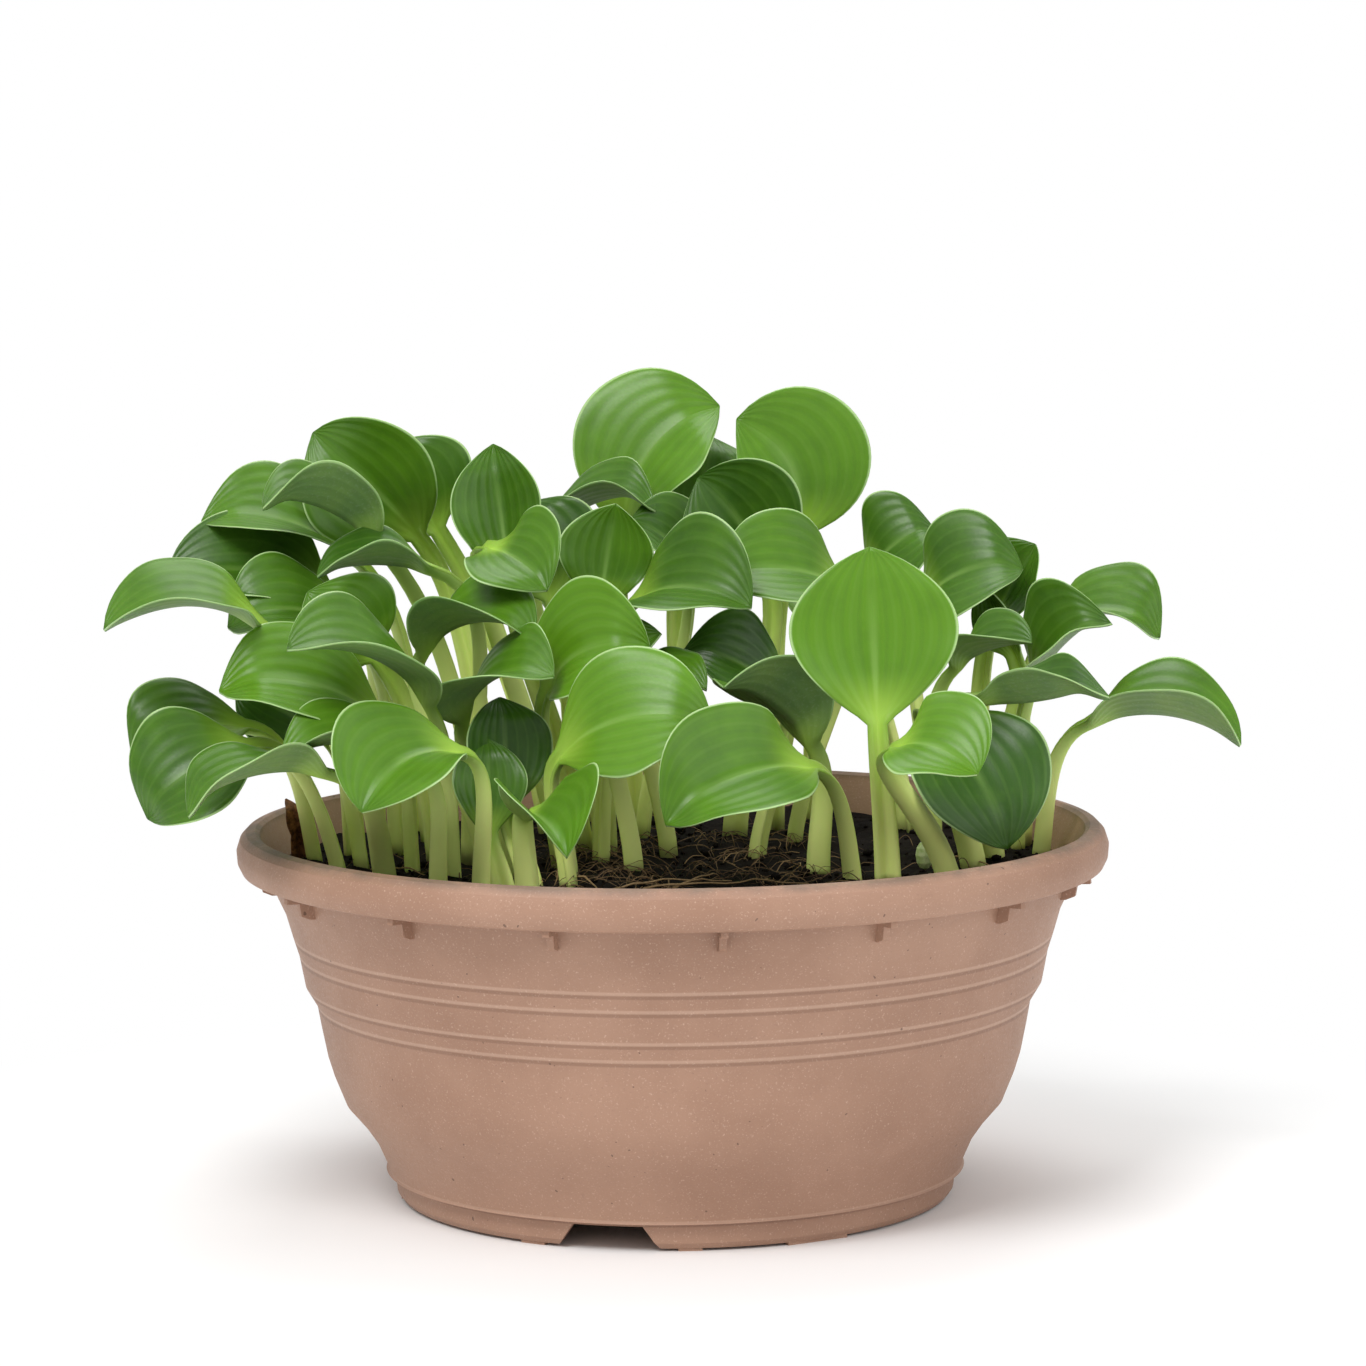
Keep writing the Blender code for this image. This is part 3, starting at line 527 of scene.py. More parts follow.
def leaf_material(settings):
    """A leaf: veined, with painted shade between the veins, satin upper side, bloomed underside, pale
    stalk, midrib and margin line.
    """
    n = Nodes("hosta_leaf")
    across = n.attribute("across")
    along = n.attribute("along")
    upper = n.attribute("upper")
    tone = n.attribute("tone")
    side = n.math("ABSOLUTE", across)
    mottle = n.noise(70.0, 4.0, 0.6)
    fine = n.noise(900.0, 3.0, 0.6)
    young = n.math("ADD", tone, n.math("MULTIPLY", n.math("SUBTRACT", mottle, 0.5), 0.9), clamp=True)
    colour = n.mix(young, tuple(settings.old), tuple(settings.young))
    wander = n.math("MULTIPLY", n.math("SUBTRACT", n.noise(45.0, 2.0, 0.5), 0.5), 1.6)
    phase = n.math("ADD", n.math("MULTIPLY", side, 30.0), wander)
    wave = n.math("SINE", phase)
    vein = n.ramp(wave, 0.55, 1.0)
    vein = n.math("MULTIPLY", vein, n.ramp(along, 0.0, 0.2))
    colour = n.mix(n.math("MULTIPLY", vein, 0.08), colour, (0.20, 0.36, 0.07))
    # Painted shade: the troughs between the raised veins are darkened.
    painted_trough_shade = n.math("MULTIPLY", n.ramp(wave, -0.4, -1.0), 0.12)
    colour = n.mix(painted_trough_shade, colour, (0.045, 0.11, 0.014))
    midrib = n.math("MULTIPLY", n.ramp(side, 0.07, 0.01), n.ramp(along, 1.0, 0.1))
    colour = n.mix(n.math("MULTIPLY", midrib, 0.5), colour, (0.26, 0.44, 0.10))
    below = n.mix(n.ramp(mottle, 0.3, 0.75), tuple(settings.under), (0.125, 0.225, 0.075))
    below = n.mix(n.math("MULTIPLY", vein, 0.30), below, (0.11, 0.20, 0.06))
    below = n.mix(n.math("MULTIPLY", n.ramp(fine, 0.5, 0.75), 0.25), below, (0.34, 0.43, 0.27))
    colour = n.mix(upper, below, colour)
    neck = n.ramp(along, 0.34, -0.02)
    colour = n.mix(n.math("MULTIPLY", neck, n.ramp(side, 1.0, 0.0, 0.35, 0.9)), colour, (0.38, 0.60, 0.075))
    foot = n.ramp(along, 0.10, -0.80)
    colour = n.mix(foot, colour, tuple(settings.stalk))
    ground = n.math("MULTIPLY", n.ramp(along, -0.93, -1.0), 0.5)
    colour = n.mix(ground, colour, (0.30, 0.27, 0.12))
    rim = n.math("MULTIPLY", n.ramp(side, 0.955, 0.985), n.ramp(along, 0.02, 0.25))
    colour = n.mix(n.math("MULTIPLY", rim, 0.85), colour, tuple(settings.margin))
    rough = n.ramp(upper, 0.0, 1.0, 0.56, 0.35)
    rough = n.math("ADD", rough, n.math("MULTIPLY", n.math("SUBTRACT", fine, 0.5), 0.15))
    relief = n.math("MULTIPLY", wave, n.ramp(along, 0.0, 0.2))
    normal = n.bump(relief, 0.00014, 0.38)
    normal = n.bump(fine, 0.00010, 0.35, normal)
    n.shader.inputs["Subsurface Weight"].default_value = 0.12
    n.shader.inputs["Subsurface Radius"].default_value = (0.3, 1.0, 0.15)
    n.shader.inputs["Subsurface Scale"].default_value = 0.0015
    return n.finish(colour, rough, normal, 0.32)


def bud_material():
    """Pale, fleshy shoot with fine streaks."""
    n = Nodes("shoot")
    streak = n.noise(500.0, 3.0, 0.6)
    colour = n.mix(n.ramp(streak, 0.35, 0.7), (0.40, 0.52, 0.20), (0.58, 0.64, 0.36))
    return n.finish(colour, n.ramp(streak, 0.3, 0.7, 0.42, 0.6), n.bump(streak, 0.0002, 0.4), 0.4)


def sheath_material():
    """Brown, dry, papery sheath."""
    n = Nodes("dry_sheath")
    streak = n.noise(420.0, 5.0, 0.7)
    colour = n.mix(n.ramp(streak, 0.35, 0.7), (0.10, 0.035, 0.016), (0.36, 0.15, 0.06))
    return n.finish(colour, n.ramp(streak, 0.3, 0.7, 0.65, 0.9), n.bump(streak, 0.0005, 0.8), 0.3)


def spot(azimuth, radius, height):
    """A point by its azimuth in degrees from the front, positive to the right."""
    angle = math.radians(azimuth)
    return (radius * math.sin(angle), -radius * math.cos(angle), height)


def pot_profile():
    """The pot's whole section: rim, lip, side, foot, floor, and back up the inside."""
    rim = [
        (0.1450, POT_HEIGHT), (0.1482, 0.1294), (0.1503, 0.1272), (RIM_RADIUS, 0.1235),
        (0.1512, 0.1195), (0.1498, 0.1166), (0.1484, 0.1160), (0.1477, 0.1200),
        (0.1458, 0.1248), (0.1430, 0.1240), (0.1402, 0.1180),
    ]
    foot = [
        (0.1012, 0.0101), (0.0982, 0.0096), (FOOT_RADIUS, 0.0030), (0.0960, PAD_HEIGHT),
        (0.0930, PAD_HEIGHT), (0.0928, FLOOR_UNDERSIDE), (0.0060, FLOOR_UNDERSIDE),
        (0.0060, FLOOR_TOP),
    ]
    inside = inner_side()
    top = [(0.1425, 0.1265), (0.1434, 0.1290)]
    return rim + list(POT_SIDE) + foot + inside + top


def inner_side():
    """The inside of the wall, bottom to top, one wall's thickness in from the outer side."""
    lifted = [(radius - WALL, height + 0.25 * WALL) for radius, height in POT_SIDE[:-2]]
    return [(0.0955, FLOOR_TOP)] + lifted[::-1] + [(0.1374, 0.1180)]


def gusset(shape, azimuth):
    """One thin fin under the rim: a shelf out to the lip and a shorter leg down the wall."""
    outline = (
        (0.1475, 0.1215), (0.1482, 0.1140), (0.1436, 0.1138), (0.1428, 0.1095),
        (0.1396, 0.1082), (0.1370, 0.1082), (0.1385, 0.1160), (0.1400, 0.1215),
    )
    angle = math.radians(azimuth)
    side = (math.cos(angle), math.sin(angle), 0.0)
    rings = []
    for sign in (-0.5, 0.5):
        ring = []
        for radius, height in outline:
            x, y, z = spot(azimuth, radius, height)
            shift = sign * GUSSET_THICKNESS
            ring.append(shape.verts.new((x + side[0] * shift, y + side[1] * shift, z)))
        rings.append(ring)
    count = len(outline)
    faces = [shape.faces.new(rings[0]), shape.faces.new(rings[1][::-1])]
    for i in range(count):
        j = (i + 1) % count
        faces.append(shape.faces.new((rings[0][i], rings[1][i], rings[1][j], rings[0][j])))
    bmesh.ops.recalc_face_normals(shape, faces=faces)


def block(shape, azimuth, radii, heights, bottom_width, top_width):
    """A radial block between two radii and two heights, as wide at the bottom and top as given."""
    made = bmesh.ops.create_cube(shape, size=1.0)["verts"]
    angle = math.radians(azimuth)
    for vert in made:
        low = vert.co.z < 0
        width = bottom_width if low else top_width
        radius = radii[0] if vert.co.y < 0 else radii[1]
        across = width * (0.5 if vert.co.x > 0 else -0.5)
        x, y, z = spot(azimuth, radius, heights[0] if low else heights[1])
        vert.co = (x + across * math.cos(angle), y + across * math.sin(angle), z)
    bmesh.ops.recalc_face_normals(shape, faces=shape.faces[:])


def fused(target, operation, shape):
    """Sets a Boolean of the shape on the target, and gives back the tool, to be removed later."""
    mesh = bpy.data.meshes.new("cutter")
    shape.to_mesh(mesh)
    shape.free()
    tool = bpy.data.objects.new("cutter", mesh)
    bpy.context.scene.collection.objects.link(tool)
    change = target.modifiers.new("change", "BOOLEAN")
    change.operation = operation
    change.object = tool
    change.solver = "EXACT"
    return tool


def planter_mesh(steps):
    """The planter, turned finely, with its gussets, pads, notches and drain holes."""
    profile = pot_profile()
    count = len(profile)
    edges = [(i, (i + 1) % count) for i in range(count)]
    mesh = bpy.data.meshes.new("planter_profile")
    mesh.from_pydata([(radius, 0.0, height) for radius, height in profile], edges, [])
    blank = bpy.data.objects.new("planter_blank", mesh)
    bpy.context.scene.collection.objects.link(blank)
    turn = blank.modifiers.new("turn", "SCREW")
    turn.steps = steps
    turn.render_steps = steps
    turn.use_merge_vertices = True
    turn.merge_threshold = 0.00001
    ribs = bmesh.new()
    for index in range(GUSSET_COUNT):
        gusset(ribs, GUSSET_FIRST + index * 360.0 / GUSSET_COUNT)
    tools = [fused(blank, "UNION", ribs)]
    pads = bmesh.new()
    cuts = bmesh.new()
    below = 0.001
    wide = NOTCH_BOTTOM_WIDTH + (NOTCH_BOTTOM_WIDTH - NOTCH_TOP_WIDTH) / NOTCH_HEIGHT * below
    for index in range(NOTCH_COUNT):
        for azimuth, width in PAD_WIDTHS:
            block(pads, azimuth + 120.0 * index, (0.0934, 0.0956), (0.0, 0.002), width, width)
        azimuth = NOTCH_AZIMUTH + 120.0 * index
        block(cuts, azimuth, (0.088, 0.104), (-below, NOTCH_HEIGHT), wide, NOTCH_TOP_WIDTH)
    for index in range(DRAIN_COUNT):
        made = bmesh.ops.create_cone(
            cuts, cap_ends=True, segments=32, radius1=DRAIN_RADIUS, radius2=DRAIN_RADIUS, depth=0.012
        )["verts"]
        place = spot(index * 360.0 / DRAIN_COUNT, DRAIN_CIRCLE, 0.5 * (FLOOR_UNDERSIDE + FLOOR_TOP))
        bmesh.ops.translate(cuts, verts=made, vec=place)
    tools.append(fused(blank, "UNION", pads))
    tools.append(fused(blank, "DIFFERENCE", cuts))
    seen = blank.evaluated_get(bpy.context.evaluated_depsgraph_get())
    made = bpy.data.meshes.new_from_object(seen)
    for tool in tools + [blank]:
        bpy.data.objects.remove(tool, do_unlink=True)
    if not made.polygons:
        raise RuntimeError("the planter's Booleans left nothing")
    made.name = "planter"
    made.shade_smooth()
    made.set_sharp_from_angle(angle=math.radians(24.0))
    return made


def soil_height(x, y, lump):
    """Height of the peat: lumps, finer crumbs and a slight hollow at the wall."""
    radius = math.hypot(x, y)
    place = Vector((x, y, 0.37))
    rise = noise.fractal(place * 28.0, 1.0, 2.1, 3) * lump
    rise += noise.fractal(place * 140.0, 0.9, 2.0, 4) * 0.35 * lump
    return SOIL_TOP - 0.0012 + rise - 0.02 * max(radius - 0.125, 0.0)


def peat_mesh(lump):
    """The root ball: a lumpy top over the inside shape of the planter."""
    wall = [(radius - PEAT_GAP, height) for radius, height in inner_side()[1:-1]]
    wall = [point for point in wall if FLOOR_TOP + 0.001 < point[1] < SOIL_TOP - 0.006]
    shape = bmesh.new()
    rows = []
    for index in range(1, PEAT_RINGS + 1):
        radius = PEAT_REACH * index / PEAT_RINGS
        row = []
        for turn in range(PEAT_SECTIONS):
            angle = math.tau * turn / PEAT_SECTIONS
            x, y = radius * math.cos(angle), radius * math.sin(angle)
            row.append(shape.verts.new((x, y, soil_height(x, y, lump))))
        rows.append(row)
    lower = [(0.1352, SOIL_TOP - 0.0055)] + wall[::-1] + [(0.0948, FLOOR_TOP + PEAT_GAP)]
    for radius, height in lower:
        row = []
        for turn in range(PEAT_SECTIONS):
            angle = math.tau * turn / PEAT_SECTIONS
            row.append(shape.verts.new((radius * math.cos(angle), radius * math.sin(angle), height)))
        rows.append(row)
    for inner, outer in zip(rows, rows[1:]):
        for i in range(PEAT_SECTIONS):
            j = (i + 1) % PEAT_SECTIONS
            shape.faces.new((inner[i], outer[i], outer[j], inner[j]))
    centre = shape.verts.new((0.0, 0.0, soil_height(0.0, 0.0, lump)))
    for i in range(PEAT_SECTIONS):
        shape.faces.new((centre, rows[0][i], rows[0][(i + 1) % PEAT_SECTIONS]))
    shape.faces.new(rows[-1][::-1])
    bmesh.ops.recalc_face_normals(shape, faces=shape.faces[:])
    mesh = bpy.data.meshes.new("peat")
    shape.to_mesh(mesh)
    shape.free()
    mesh.shade_smooth()
    return mesh


def crumb_mesh(count, lump):
    """Loose crumbs of peat lying on the surface."""
    draw = random.Random(11)
    shape = bmesh.new()
    for _ in range(count):
        radius = 0.130 * math.sqrt(draw.random())
        angle = draw.uniform(0.0, math.tau)
        x, y = radius * math.cos(angle), radius * math.sin(angle)
        size = draw.uniform(0.0005, 0.0011) * (2.2 if draw.random() < 0.12 else 1.0)
        made = bmesh.ops.create_icosphere(shape, subdivisions=1, radius=size)["verts"]
        squat = draw.uniform(0.55, 0.9)
        for vert in made:
            pull = 1.0 + 0.35 * noise.noise(vert.co * 900.0 + Vector((x, y, 0.0)) * 700.0)
            vert.co = Vector((vert.co.x * pull, vert.co.y * pull, vert.co.z * pull * squat))
        bmesh.ops.translate(shape, verts=made, vec=(x, y, soil_height(x, y, lump) + 0.35 * size))
    mesh = bpy.data.meshes.new("peat_crumbs")
    shape.to_mesh(mesh)
    shape.free()
    mesh.shade_smooth()
    return mesh


def tube(shape, layer, points, radius, tone):
    """A thin closed tube of triangular section along the points."""
    rows = []
    for index, point in enumerate(points):
        ahead = points[min(index + 1, len(points) - 1)] - points[max(index - 1, 0)]
        first = ahead.cross(Vector((0.0, 0.0, 1.0)))
        first = first.normalized() if first.length > 1e-9 else Vector((1.0, 0.0, 0.0))
        second = ahead.normalized().cross(first)
        thin = radius * (1.0 - 0.5 * index / (len(points) - 1))
        row = []
        for corner in range(3):
            angle = math.tau * corner / 3.0
            vert = shape.verts.new(point + first * thin * math.cos(angle) + second * thin * math.sin(angle))
            vert[layer] = tone
            row.append(vert)
        rows.append(row)
    for low, high in zip(rows, rows[1:]):
        for i in range(3):
            j = (i + 1) % 3
            shape.faces.new((low[i], low[j], high[j], high[i]))
    shape.faces.new(rows[0][::-1])
    shape.faces.new(rows[-1])


def fibre_mesh(count, lump):
    """Root fibres on and in the peat, thickest on the bare ground at the front, and some straws."""
    draw = random.Random(29)
    shape = bmesh.new()
    layer = shape.verts.layers.float.new("tone")
    for index in range(count):
        if index < FRONT_SHARE * count:
            x, y = draw.uniform(*FRONT_X), draw.uniform(*FRONT_Y)
        else:
            radius = 0.122 * math.sqrt(draw.random())
            turn = draw.uniform(0.0, math.tau)
            x, y = radius * math.cos(turn), radius * math.sin(turn)
        heading = draw.uniform(0.0, math.tau)
        length = draw.uniform(0.006, 0.020)
        bend = draw.uniform(-2.6, 2.6)
        lift = draw.uniform(0.0004, 0.0045)
        points = []
        for step in range(FIBRE_STEPS + 1):
            share = step / FIBRE_STEPS
            height = soil_height(x, y, lump) + 0.0003 + lift * math.sin(math.pi * share)
            points.append(Vector((x, y, height)))
            heading += bend / FIBRE_STEPS + draw.uniform(-0.18, 0.18)
            x += math.cos(heading) * length / FIBRE_STEPS
            y += math.sin(heading) * length / FIBRE_STEPS
        tube(shape, layer, points, draw.uniform(0.00012, 0.00026), draw.uniform(0.15, 1.0) ** 1.3)
    for start, middle, end in STRAWS:
        points = []
        for step in range(STRAW_STEPS + 1):
            t = step / STRAW_STEPS
            x = (1 - t) ** 2 * start[0] + 2 * t * (1 - t) * middle[0] + t * t * end[0]
            y = (1 - t) ** 2 * start[1] + 2 * t * (1 - t) * middle[1] + t * t * end[1]
            points.append(Vector((x, y, soil_height(x, y, lump) + 0.0010 + 0.0022 * math.sin(math.pi * t))))
        tube(shape, layer, points, STRAW_RADIUS, 0.95)
    mesh = bpy.data.meshes.new("root_fibres")
    shape.to_mesh(mesh)
    shape.free()
    mesh.shade_smooth()
    return mesh


def unit(vector):
    """The vector at length one."""
    return vector / np.linalg.norm(vector)


def smooth(value):
    """A smooth step from 0 to 1."""
    value = min(max(value, 0.0), 1.0)
    return value * value * (3.0 - 2.0 * value)


def blade_half_width(u):
    """How wide the blade is along its length, 1 at the widest: narrow neck, round far end."""
    rise, fall = 0.92, 0.80
    widest = rise / (rise + fall)
    peak = widest**rise * (1.0 - widest) ** fall
    return u**rise * max(1.0 - u, 0.0) ** fall / peak


def leaf_spine(leaf, root_height):
    """Points, directions and upward directions at fine steps: the stalk's, then the blade's."""
    root_xy, neck, tip, _, facing, _, (bow, swing) = leaf
    root = np.array((*root_xy, root_height))
    neck = np.array(neck)
    tip = np.array(tip)
    chord = tip - neck
    face = np.array(facing, float)
    face = unit(face - np.dot(face, unit(chord)) * unit(chord))
    middle = 0.5 * (neck + tip) + 2.0 * bow * face + 2.0 * swing * np.cross(unit(chord), face)
    steps = np.linspace(0.0, 1.0, FINE_STEPS + 1)[:, None]
    blade = (1 - steps) ** 2 * neck + 2 * steps * (1 - steps) * middle + steps**2 * tip
    reach = np.linalg.norm(neck - root)
    lean = unit((neck - root) * (0.5, 0.5, 1.0) + np.array((0.0, 0.0, 0.3 * reach)))
    first = root + 0.4 * reach * lean
    second = neck - 0.3 * reach * unit(middle - neck)
    stalk = (1 - steps) ** 3 * root + 3 * steps * (1 - steps) ** 2 * first
    stalk = stalk + 3 * steps**2 * (1 - steps) * second + steps**3 * neck
    points = np.vstack([stalk, blade[1:]])
    along = np.gradient(points, axis=0)
    along = along / np.linalg.norm(along, axis=1)[:, None]
    upward = np.zeros_like(points)
    for index in range(FINE_STEPS, len(points)):
        upward[index] = unit(face - np.dot(face, along[index]) * along[index])
    for index in range(FINE_STEPS - 1, -1, -1):
        carried = upward[index + 1]
        upward[index] = unit(carried - np.dot(carried, along[index]) * along[index])
    return points, along, upward


def leaf_seed(leaf):
    """A whole number of the leaf's own, from its neck's and its tip's places."""
    return int(abs(leaf[1][0]) * 1e5) + int(abs(leaf[2][2]) * 1e4)


def leaf_rings(leaf, thickness, root_height):
    """Closed rings of (point, across, along, upper) from the root to the tip."""
    width, folds = leaf[3] * WIDEN, leaf[5]
    points, along, upward = leaf_spine(leaf, root_height)
    draw = random.Random(leaf_seed(leaf))
    phases = [draw.uniform(0.0, math.tau) for _ in range(4)]
    curl_height = draw.uniform(*TIP_CURL)
    stations = [FINE_STEPS * i / STALK_STATIONS for i in range(STALK_STATIONS)]
    stations += [FINE_STEPS * (1.0 + (i / BLADE_STATIONS) ** 0.9) for i in range(BLADE_STATIONS + 1)]
    spread = np.sin(np.linspace(-0.5 * math.pi, 0.5 * math.pi, ACROSS + 1))
    rings = []
    for exact in stations:
        station = round(exact)
        u = station / FINE_STEPS - 1.0
        blade = smooth(u / 0.25)
        thin = STALK_AT_NECK + (STALK_AT_ROOT - STALK_AT_NECK) * min(max(-u, 0.0), 1.0)
        half = thin
        if u > 0.0:
            half = max(math.hypot(thin * (1.0 - u), 0.5 * width * blade_half_width(u)), TIP_HALF_WIDTH)
        side = np.cross(along[station], upward[station])
        curl = curl_height * smooth((u - 0.7) / 0.3) ** 2
        ring = []
        for top in (True, False):
            for v in spread if top else spread[-2:0:-1]:
                fold = math.radians((folds[0] if v < 0 else folds[1]) + EXTRA_FOLD) * (0.35 + 0.65 * blade)
                rise = half * math.sin(fold) * (math.hypot(v, 0.12) - 0.12)
                edge = abs(v) ** 3
                ripple = math.sin(7.0 * u + phases[0 if v < 0 else 1]) * LONG_RIPPLE
                ripple += math.sin(15.0 * u + phases[2 if v < 0 else 3]) * SHORT_RIPPLE
                rise += blade * (edge * ripple * min(1.0, 60.0 * half) + curl)
                groove = -GROOVE_DEPTH * math.exp(-((v / 0.07) ** 2)) * (1.0 - 0.6 * max(u, 0.0))
                rise += blade * groove
                round_off = math.sqrt(max(1.0 - v * v, 0.0))
                if top:
                    stalk_part = thin * (0.32 * round_off - 0.55 * math.exp(-((v / 0.45) ** 2)))
                else:
                    stalk_part = -0.9 * thin * round_off
                blade_part = thickness * (0.5 if top else -0.5) * min(1.0, 3.0 * round_off)
                if not top:
                    blade_part -= RIB_DEPTH * math.exp(-((v / 0.08) ** 2)) * (1.0 - max(u, 0.0))
                lift = rise + (1.0 - blade) * stalk_part + blade * blade_part
                place = points[station] + side * half * v * math.cos(fold) + upward[station] * lift
                ring.append((place, float(v), u, 1.0 if top else 0.0))
        rings.append(ring)
    return rings


def leaf_mesh(name, leaf, tone, thickness, root):
    """One leaf as a closed mesh that carries where each point lies on the leaf."""
    rings = leaf_rings(leaf, thickness, root)
    shape = bmesh.new()
    layers = {key: shape.verts.layers.float.new(key) for key in ("across", "along", "upper", "tone")}
    rows = []
    for ring in rings:
        row = []
        for point, across, along, upper in ring:
            vert = shape.verts.new(point)
            vert[layers["across"]] = across
            vert[layers["along"]] = along
            vert[layers["upper"]] = upper
            vert[layers["tone"]] = tone
            row.append(vert)
        rows.append(row)
    for lower, upper_row in zip(rows, rows[1:]):
        for i in range(len(lower)):
            j = (i + 1) % len(lower)
            shape.faces.new((lower[i], lower[j], upper_row[j], upper_row[i]))
    shape.faces.new(rows[0][::-1])
    shape.faces.new(rows[-1])
    bmesh.ops.recalc_face_normals(shape, faces=shape.faces[:])
    mesh = bpy.data.meshes.new(name)
    shape.to_mesh(mesh)
    shape.free()
    mesh.shade_smooth()
    return mesh


class HOSTA_OT_planter(bpy.types.Operator):
    """Build the planter."""

    bl_idname = "hosta.planter"
    bl_label = "Planter"

    def execute(self, context):
        settings = context.scene.hosta_planter
        piece("planter", planter_mesh(settings.steps), plastic_material(settings), "pot", "pot")
        return {"FINISHED"}


class HOSTA_OT_peat(bpy.types.Operator):
    """Build the peat, its crumbs and its root fibres."""

    bl_idname = "hosta.peat"
    bl_label = "Peat and fibres"

    def execute(self, context):
        settings = context.scene.hosta_peat
        look = peat_material(settings)
        piece("peat", peat_mesh(settings.lump), look, "soil", "soil")
        piece("peat_crumbs", crumb_mesh(settings.crumbs, settings.lump), look, "soil")
        piece("root_fibres", fibre_mesh(settings.fibres, settings.lump), fibre_material(settings), "soil")
        return {"FINISHED"}


class HOSTA_OT_leaves(bpy.types.Operator):
    """Build every leaf in place of its plain solid."""

    bl_idname = "hosta.leaves"
    bl_label = "Leaves"

    def execute(self, context):
        settings = context.scene.hosta_leaf
        look = leaf_material(settings)
        for clump, leaves in LEAVES.items():
            for number, leaf in enumerate(leaves, start=1):
                node = f"{clump}_leaf_{number:02d}"
                mesh = leaf_mesh(node, leaf, TONES[node], settings.thickness, SOIL_TOP - ROOT_DEPTH)
                piece(f"{node}_blade_and_stalk", mesh, look, "leaf", node)
        return {"FINISHED"}


class HOSTA_OT_shoots(bpy.types.Operator):
    """Finish the pale shoot and build the dried sheath."""

    bl_idname = "hosta.shoots"
    bl_label = "Shoot and sheath"

    def execute(self, context):
        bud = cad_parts["shoot_bud"]
        bud.data.materials.clear()
        bud.data.materials.append(bud_material())
        mesh = leaf_mesh("dried_sheath", SHEATH, 0.0, SHEATH_THICKNESS, SOIL_TOP - ROOT_DEPTH)
        piece("papery_sheath", mesh, sheath_material(), "sheath", "dried_sheath")
        return {"FINISHED"}


def lamp(name, place, size, power):
    """A square soft lamp aimed at the plant."""
    light = bpy.data.lights.new(name, "AREA")
    light.size = size
    light.energy = power
    thing = bpy.data.objects.new(name, light)
    thing.location = place
    thing.rotation_euler = (Vector(LAMP_AIM) - Vector(place)).to_track_quat("-Z", "Y").to_euler()
    bpy.context.scene.collection.objects.link(thing)


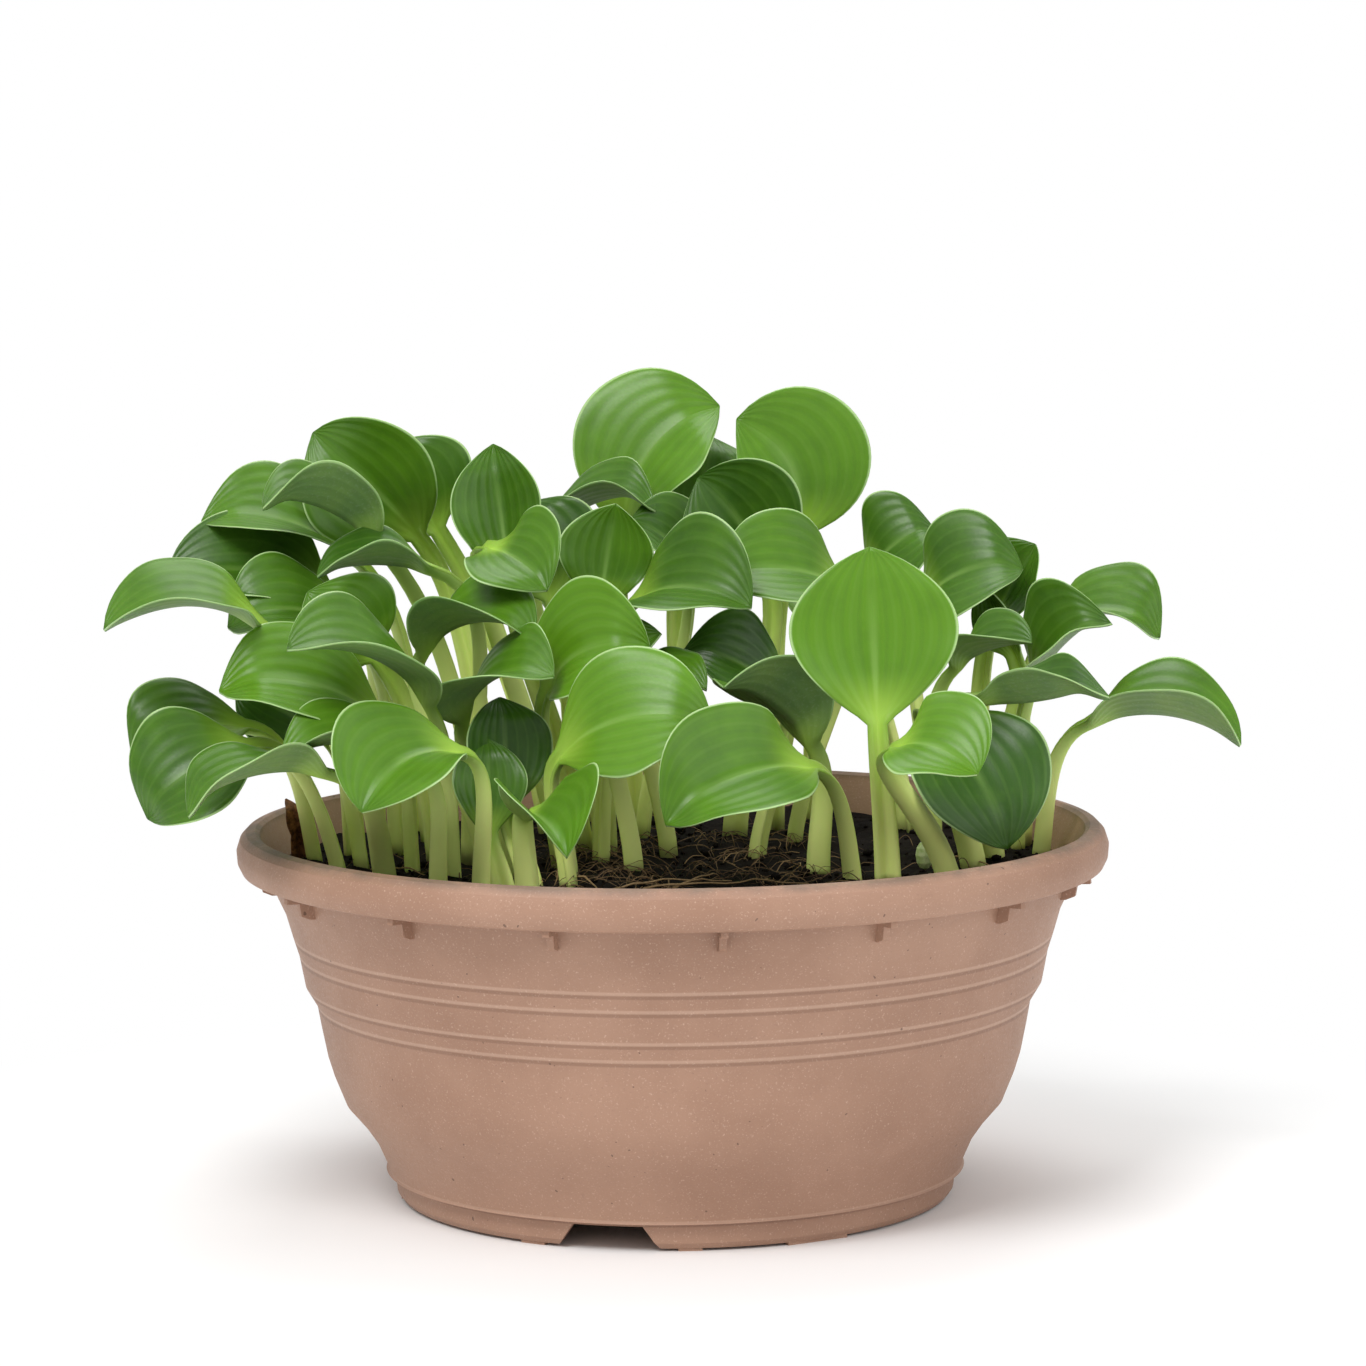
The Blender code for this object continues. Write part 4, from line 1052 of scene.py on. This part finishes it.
class HOSTA_OT_stage(bpy.types.Operator):
    """Set the pale floor, the soft light and the camera."""

    bl_idname = "hosta.stage"
    bl_label = "Stage"

    def execute(self, context):
        scene = context.scene
        shape = bmesh.new()
        bmesh.ops.create_grid(shape, x_segments=1, y_segments=1, size=FLOOR_HALF_SIZE)
        mesh = bpy.data.meshes.new("floor")
        shape.to_mesh(mesh)
        shape.free()
        floor = bpy.data.objects.new("floor", mesh)
        scene.collection.objects.link(floor)
        n = Nodes("pale_floor")
        mesh.materials.append(n.finish(FLOOR_COLOUR, 0.95, None, 0.0))
        distance = n.add("ShaderNodeVectorMath", operation="LENGTH")
        n.link(n.position(), distance.inputs[0])
        seen = n.add("ShaderNodeLightPath").outputs["Is Camera Ray"]
        white = n.add("ShaderNodeEmission")
        blend = n.add("ShaderNodeMixShader")
        fade = n.ramp(distance.outputs["Value"], *FLOOR_FADE)
        n.link(n.math("MULTIPLY", seen, fade), blend.inputs[0])
        n.link(n.shader.outputs[0], blend.inputs[1])
        n.link(white.outputs[0], blend.inputs[2])
        n.link(blend.outputs[0], n.tree.nodes["Material Output"].inputs["Surface"])
        world = bpy.data.worlds.new("studio")
        scene.world = world
        world.use_nodes = True
        tree = world.node_tree
        background = tree.nodes["Background"]
        path = tree.nodes.new("ShaderNodeLightPath")
        level = tree.nodes.new("ShaderNodeMapRange")
        level.inputs["To Min"].default_value = SURROUND_LIGHT
        level.inputs["To Max"].default_value = 1.0
        tree.links.new(path.outputs["Is Camera Ray"], level.inputs["Value"])
        tree.links.new(level.outputs["Result"], background.inputs["Strength"])
        background.inputs["Color"].default_value = (1.0, 1.0, 1.0, 1.0)
        for name, place, size, power in LAMPS:
            lamp(name, place, size, power)
        camera = bpy.data.cameras.new("camera")
        camera.sensor_width = 36.0
        camera.lens = CAMERA_LENS
        camera.clip_start = 0.05
        camera.clip_end = 40.0
        eye = bpy.data.objects.new("camera", camera)
        turn = Euler((math.radians(90.0 - CAMERA_DOWN), 0.0, 0.0)).to_matrix()
        turn = turn @ Matrix.Rotation(math.radians(CAMERA_ROLL), 3, "Z")
        eye.matrix_world = Matrix.Translation(CAMERA_PLACE) @ turn.to_4x4()
        scene.collection.objects.link(eye)
        scene.camera = eye
        scene.view_settings.view_transform = "Standard"
        return {"FINISHED"}


class HOSTA_PT_panel(bpy.types.Panel):
    """The plant's pieces and settings."""

    bl_label = "Potted hosta"
    bl_idname = "HOSTA_PT_panel"
    bl_space_type = "VIEW_3D"
    bl_region_type = "UI"
    bl_category = "Hosta"

    def draw(self, context):
        column = self.layout.column()
        for operator in OPERATORS:
            column.operator(operator.bl_idname)
        for name, group in SETTINGS.items():
            box = self.layout.box()
            for field in group.__annotations__:
                box.prop(getattr(context.scene, name), field)


OPERATORS = (HOSTA_OT_planter, HOSTA_OT_peat, HOSTA_OT_leaves, HOSTA_OT_shoots, HOSTA_OT_stage)
SETTINGS = {"hosta_planter": PlanterSettings, "hosta_peat": PeatSettings, "hosta_leaf": LeafSettings}
CLASSES = (*SETTINGS.values(), *OPERATORS, HOSTA_PT_panel)


def register():
    """Registers the classes and the settings."""
    for cls in CLASSES:
        bpy.utils.register_class(cls)
    for name, group in SETTINGS.items():
        setattr(bpy.types.Scene, name, PointerProperty(type=group))


def unregister():
    """Removes the settings and the classes."""
    for name in SETTINGS:
        delattr(bpy.types.Scene, name)
    for cls in reversed(CLASSES):
        bpy.utils.unregister_class(cls)


def main():
    """Registers the add-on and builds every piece."""
    register()
    bpy.ops.hosta.planter()
    bpy.ops.hosta.peat()
    bpy.ops.hosta.leaves()
    bpy.ops.hosta.shoots()
    bpy.ops.hosta.stage()


if __name__ == "__main__":
    main()
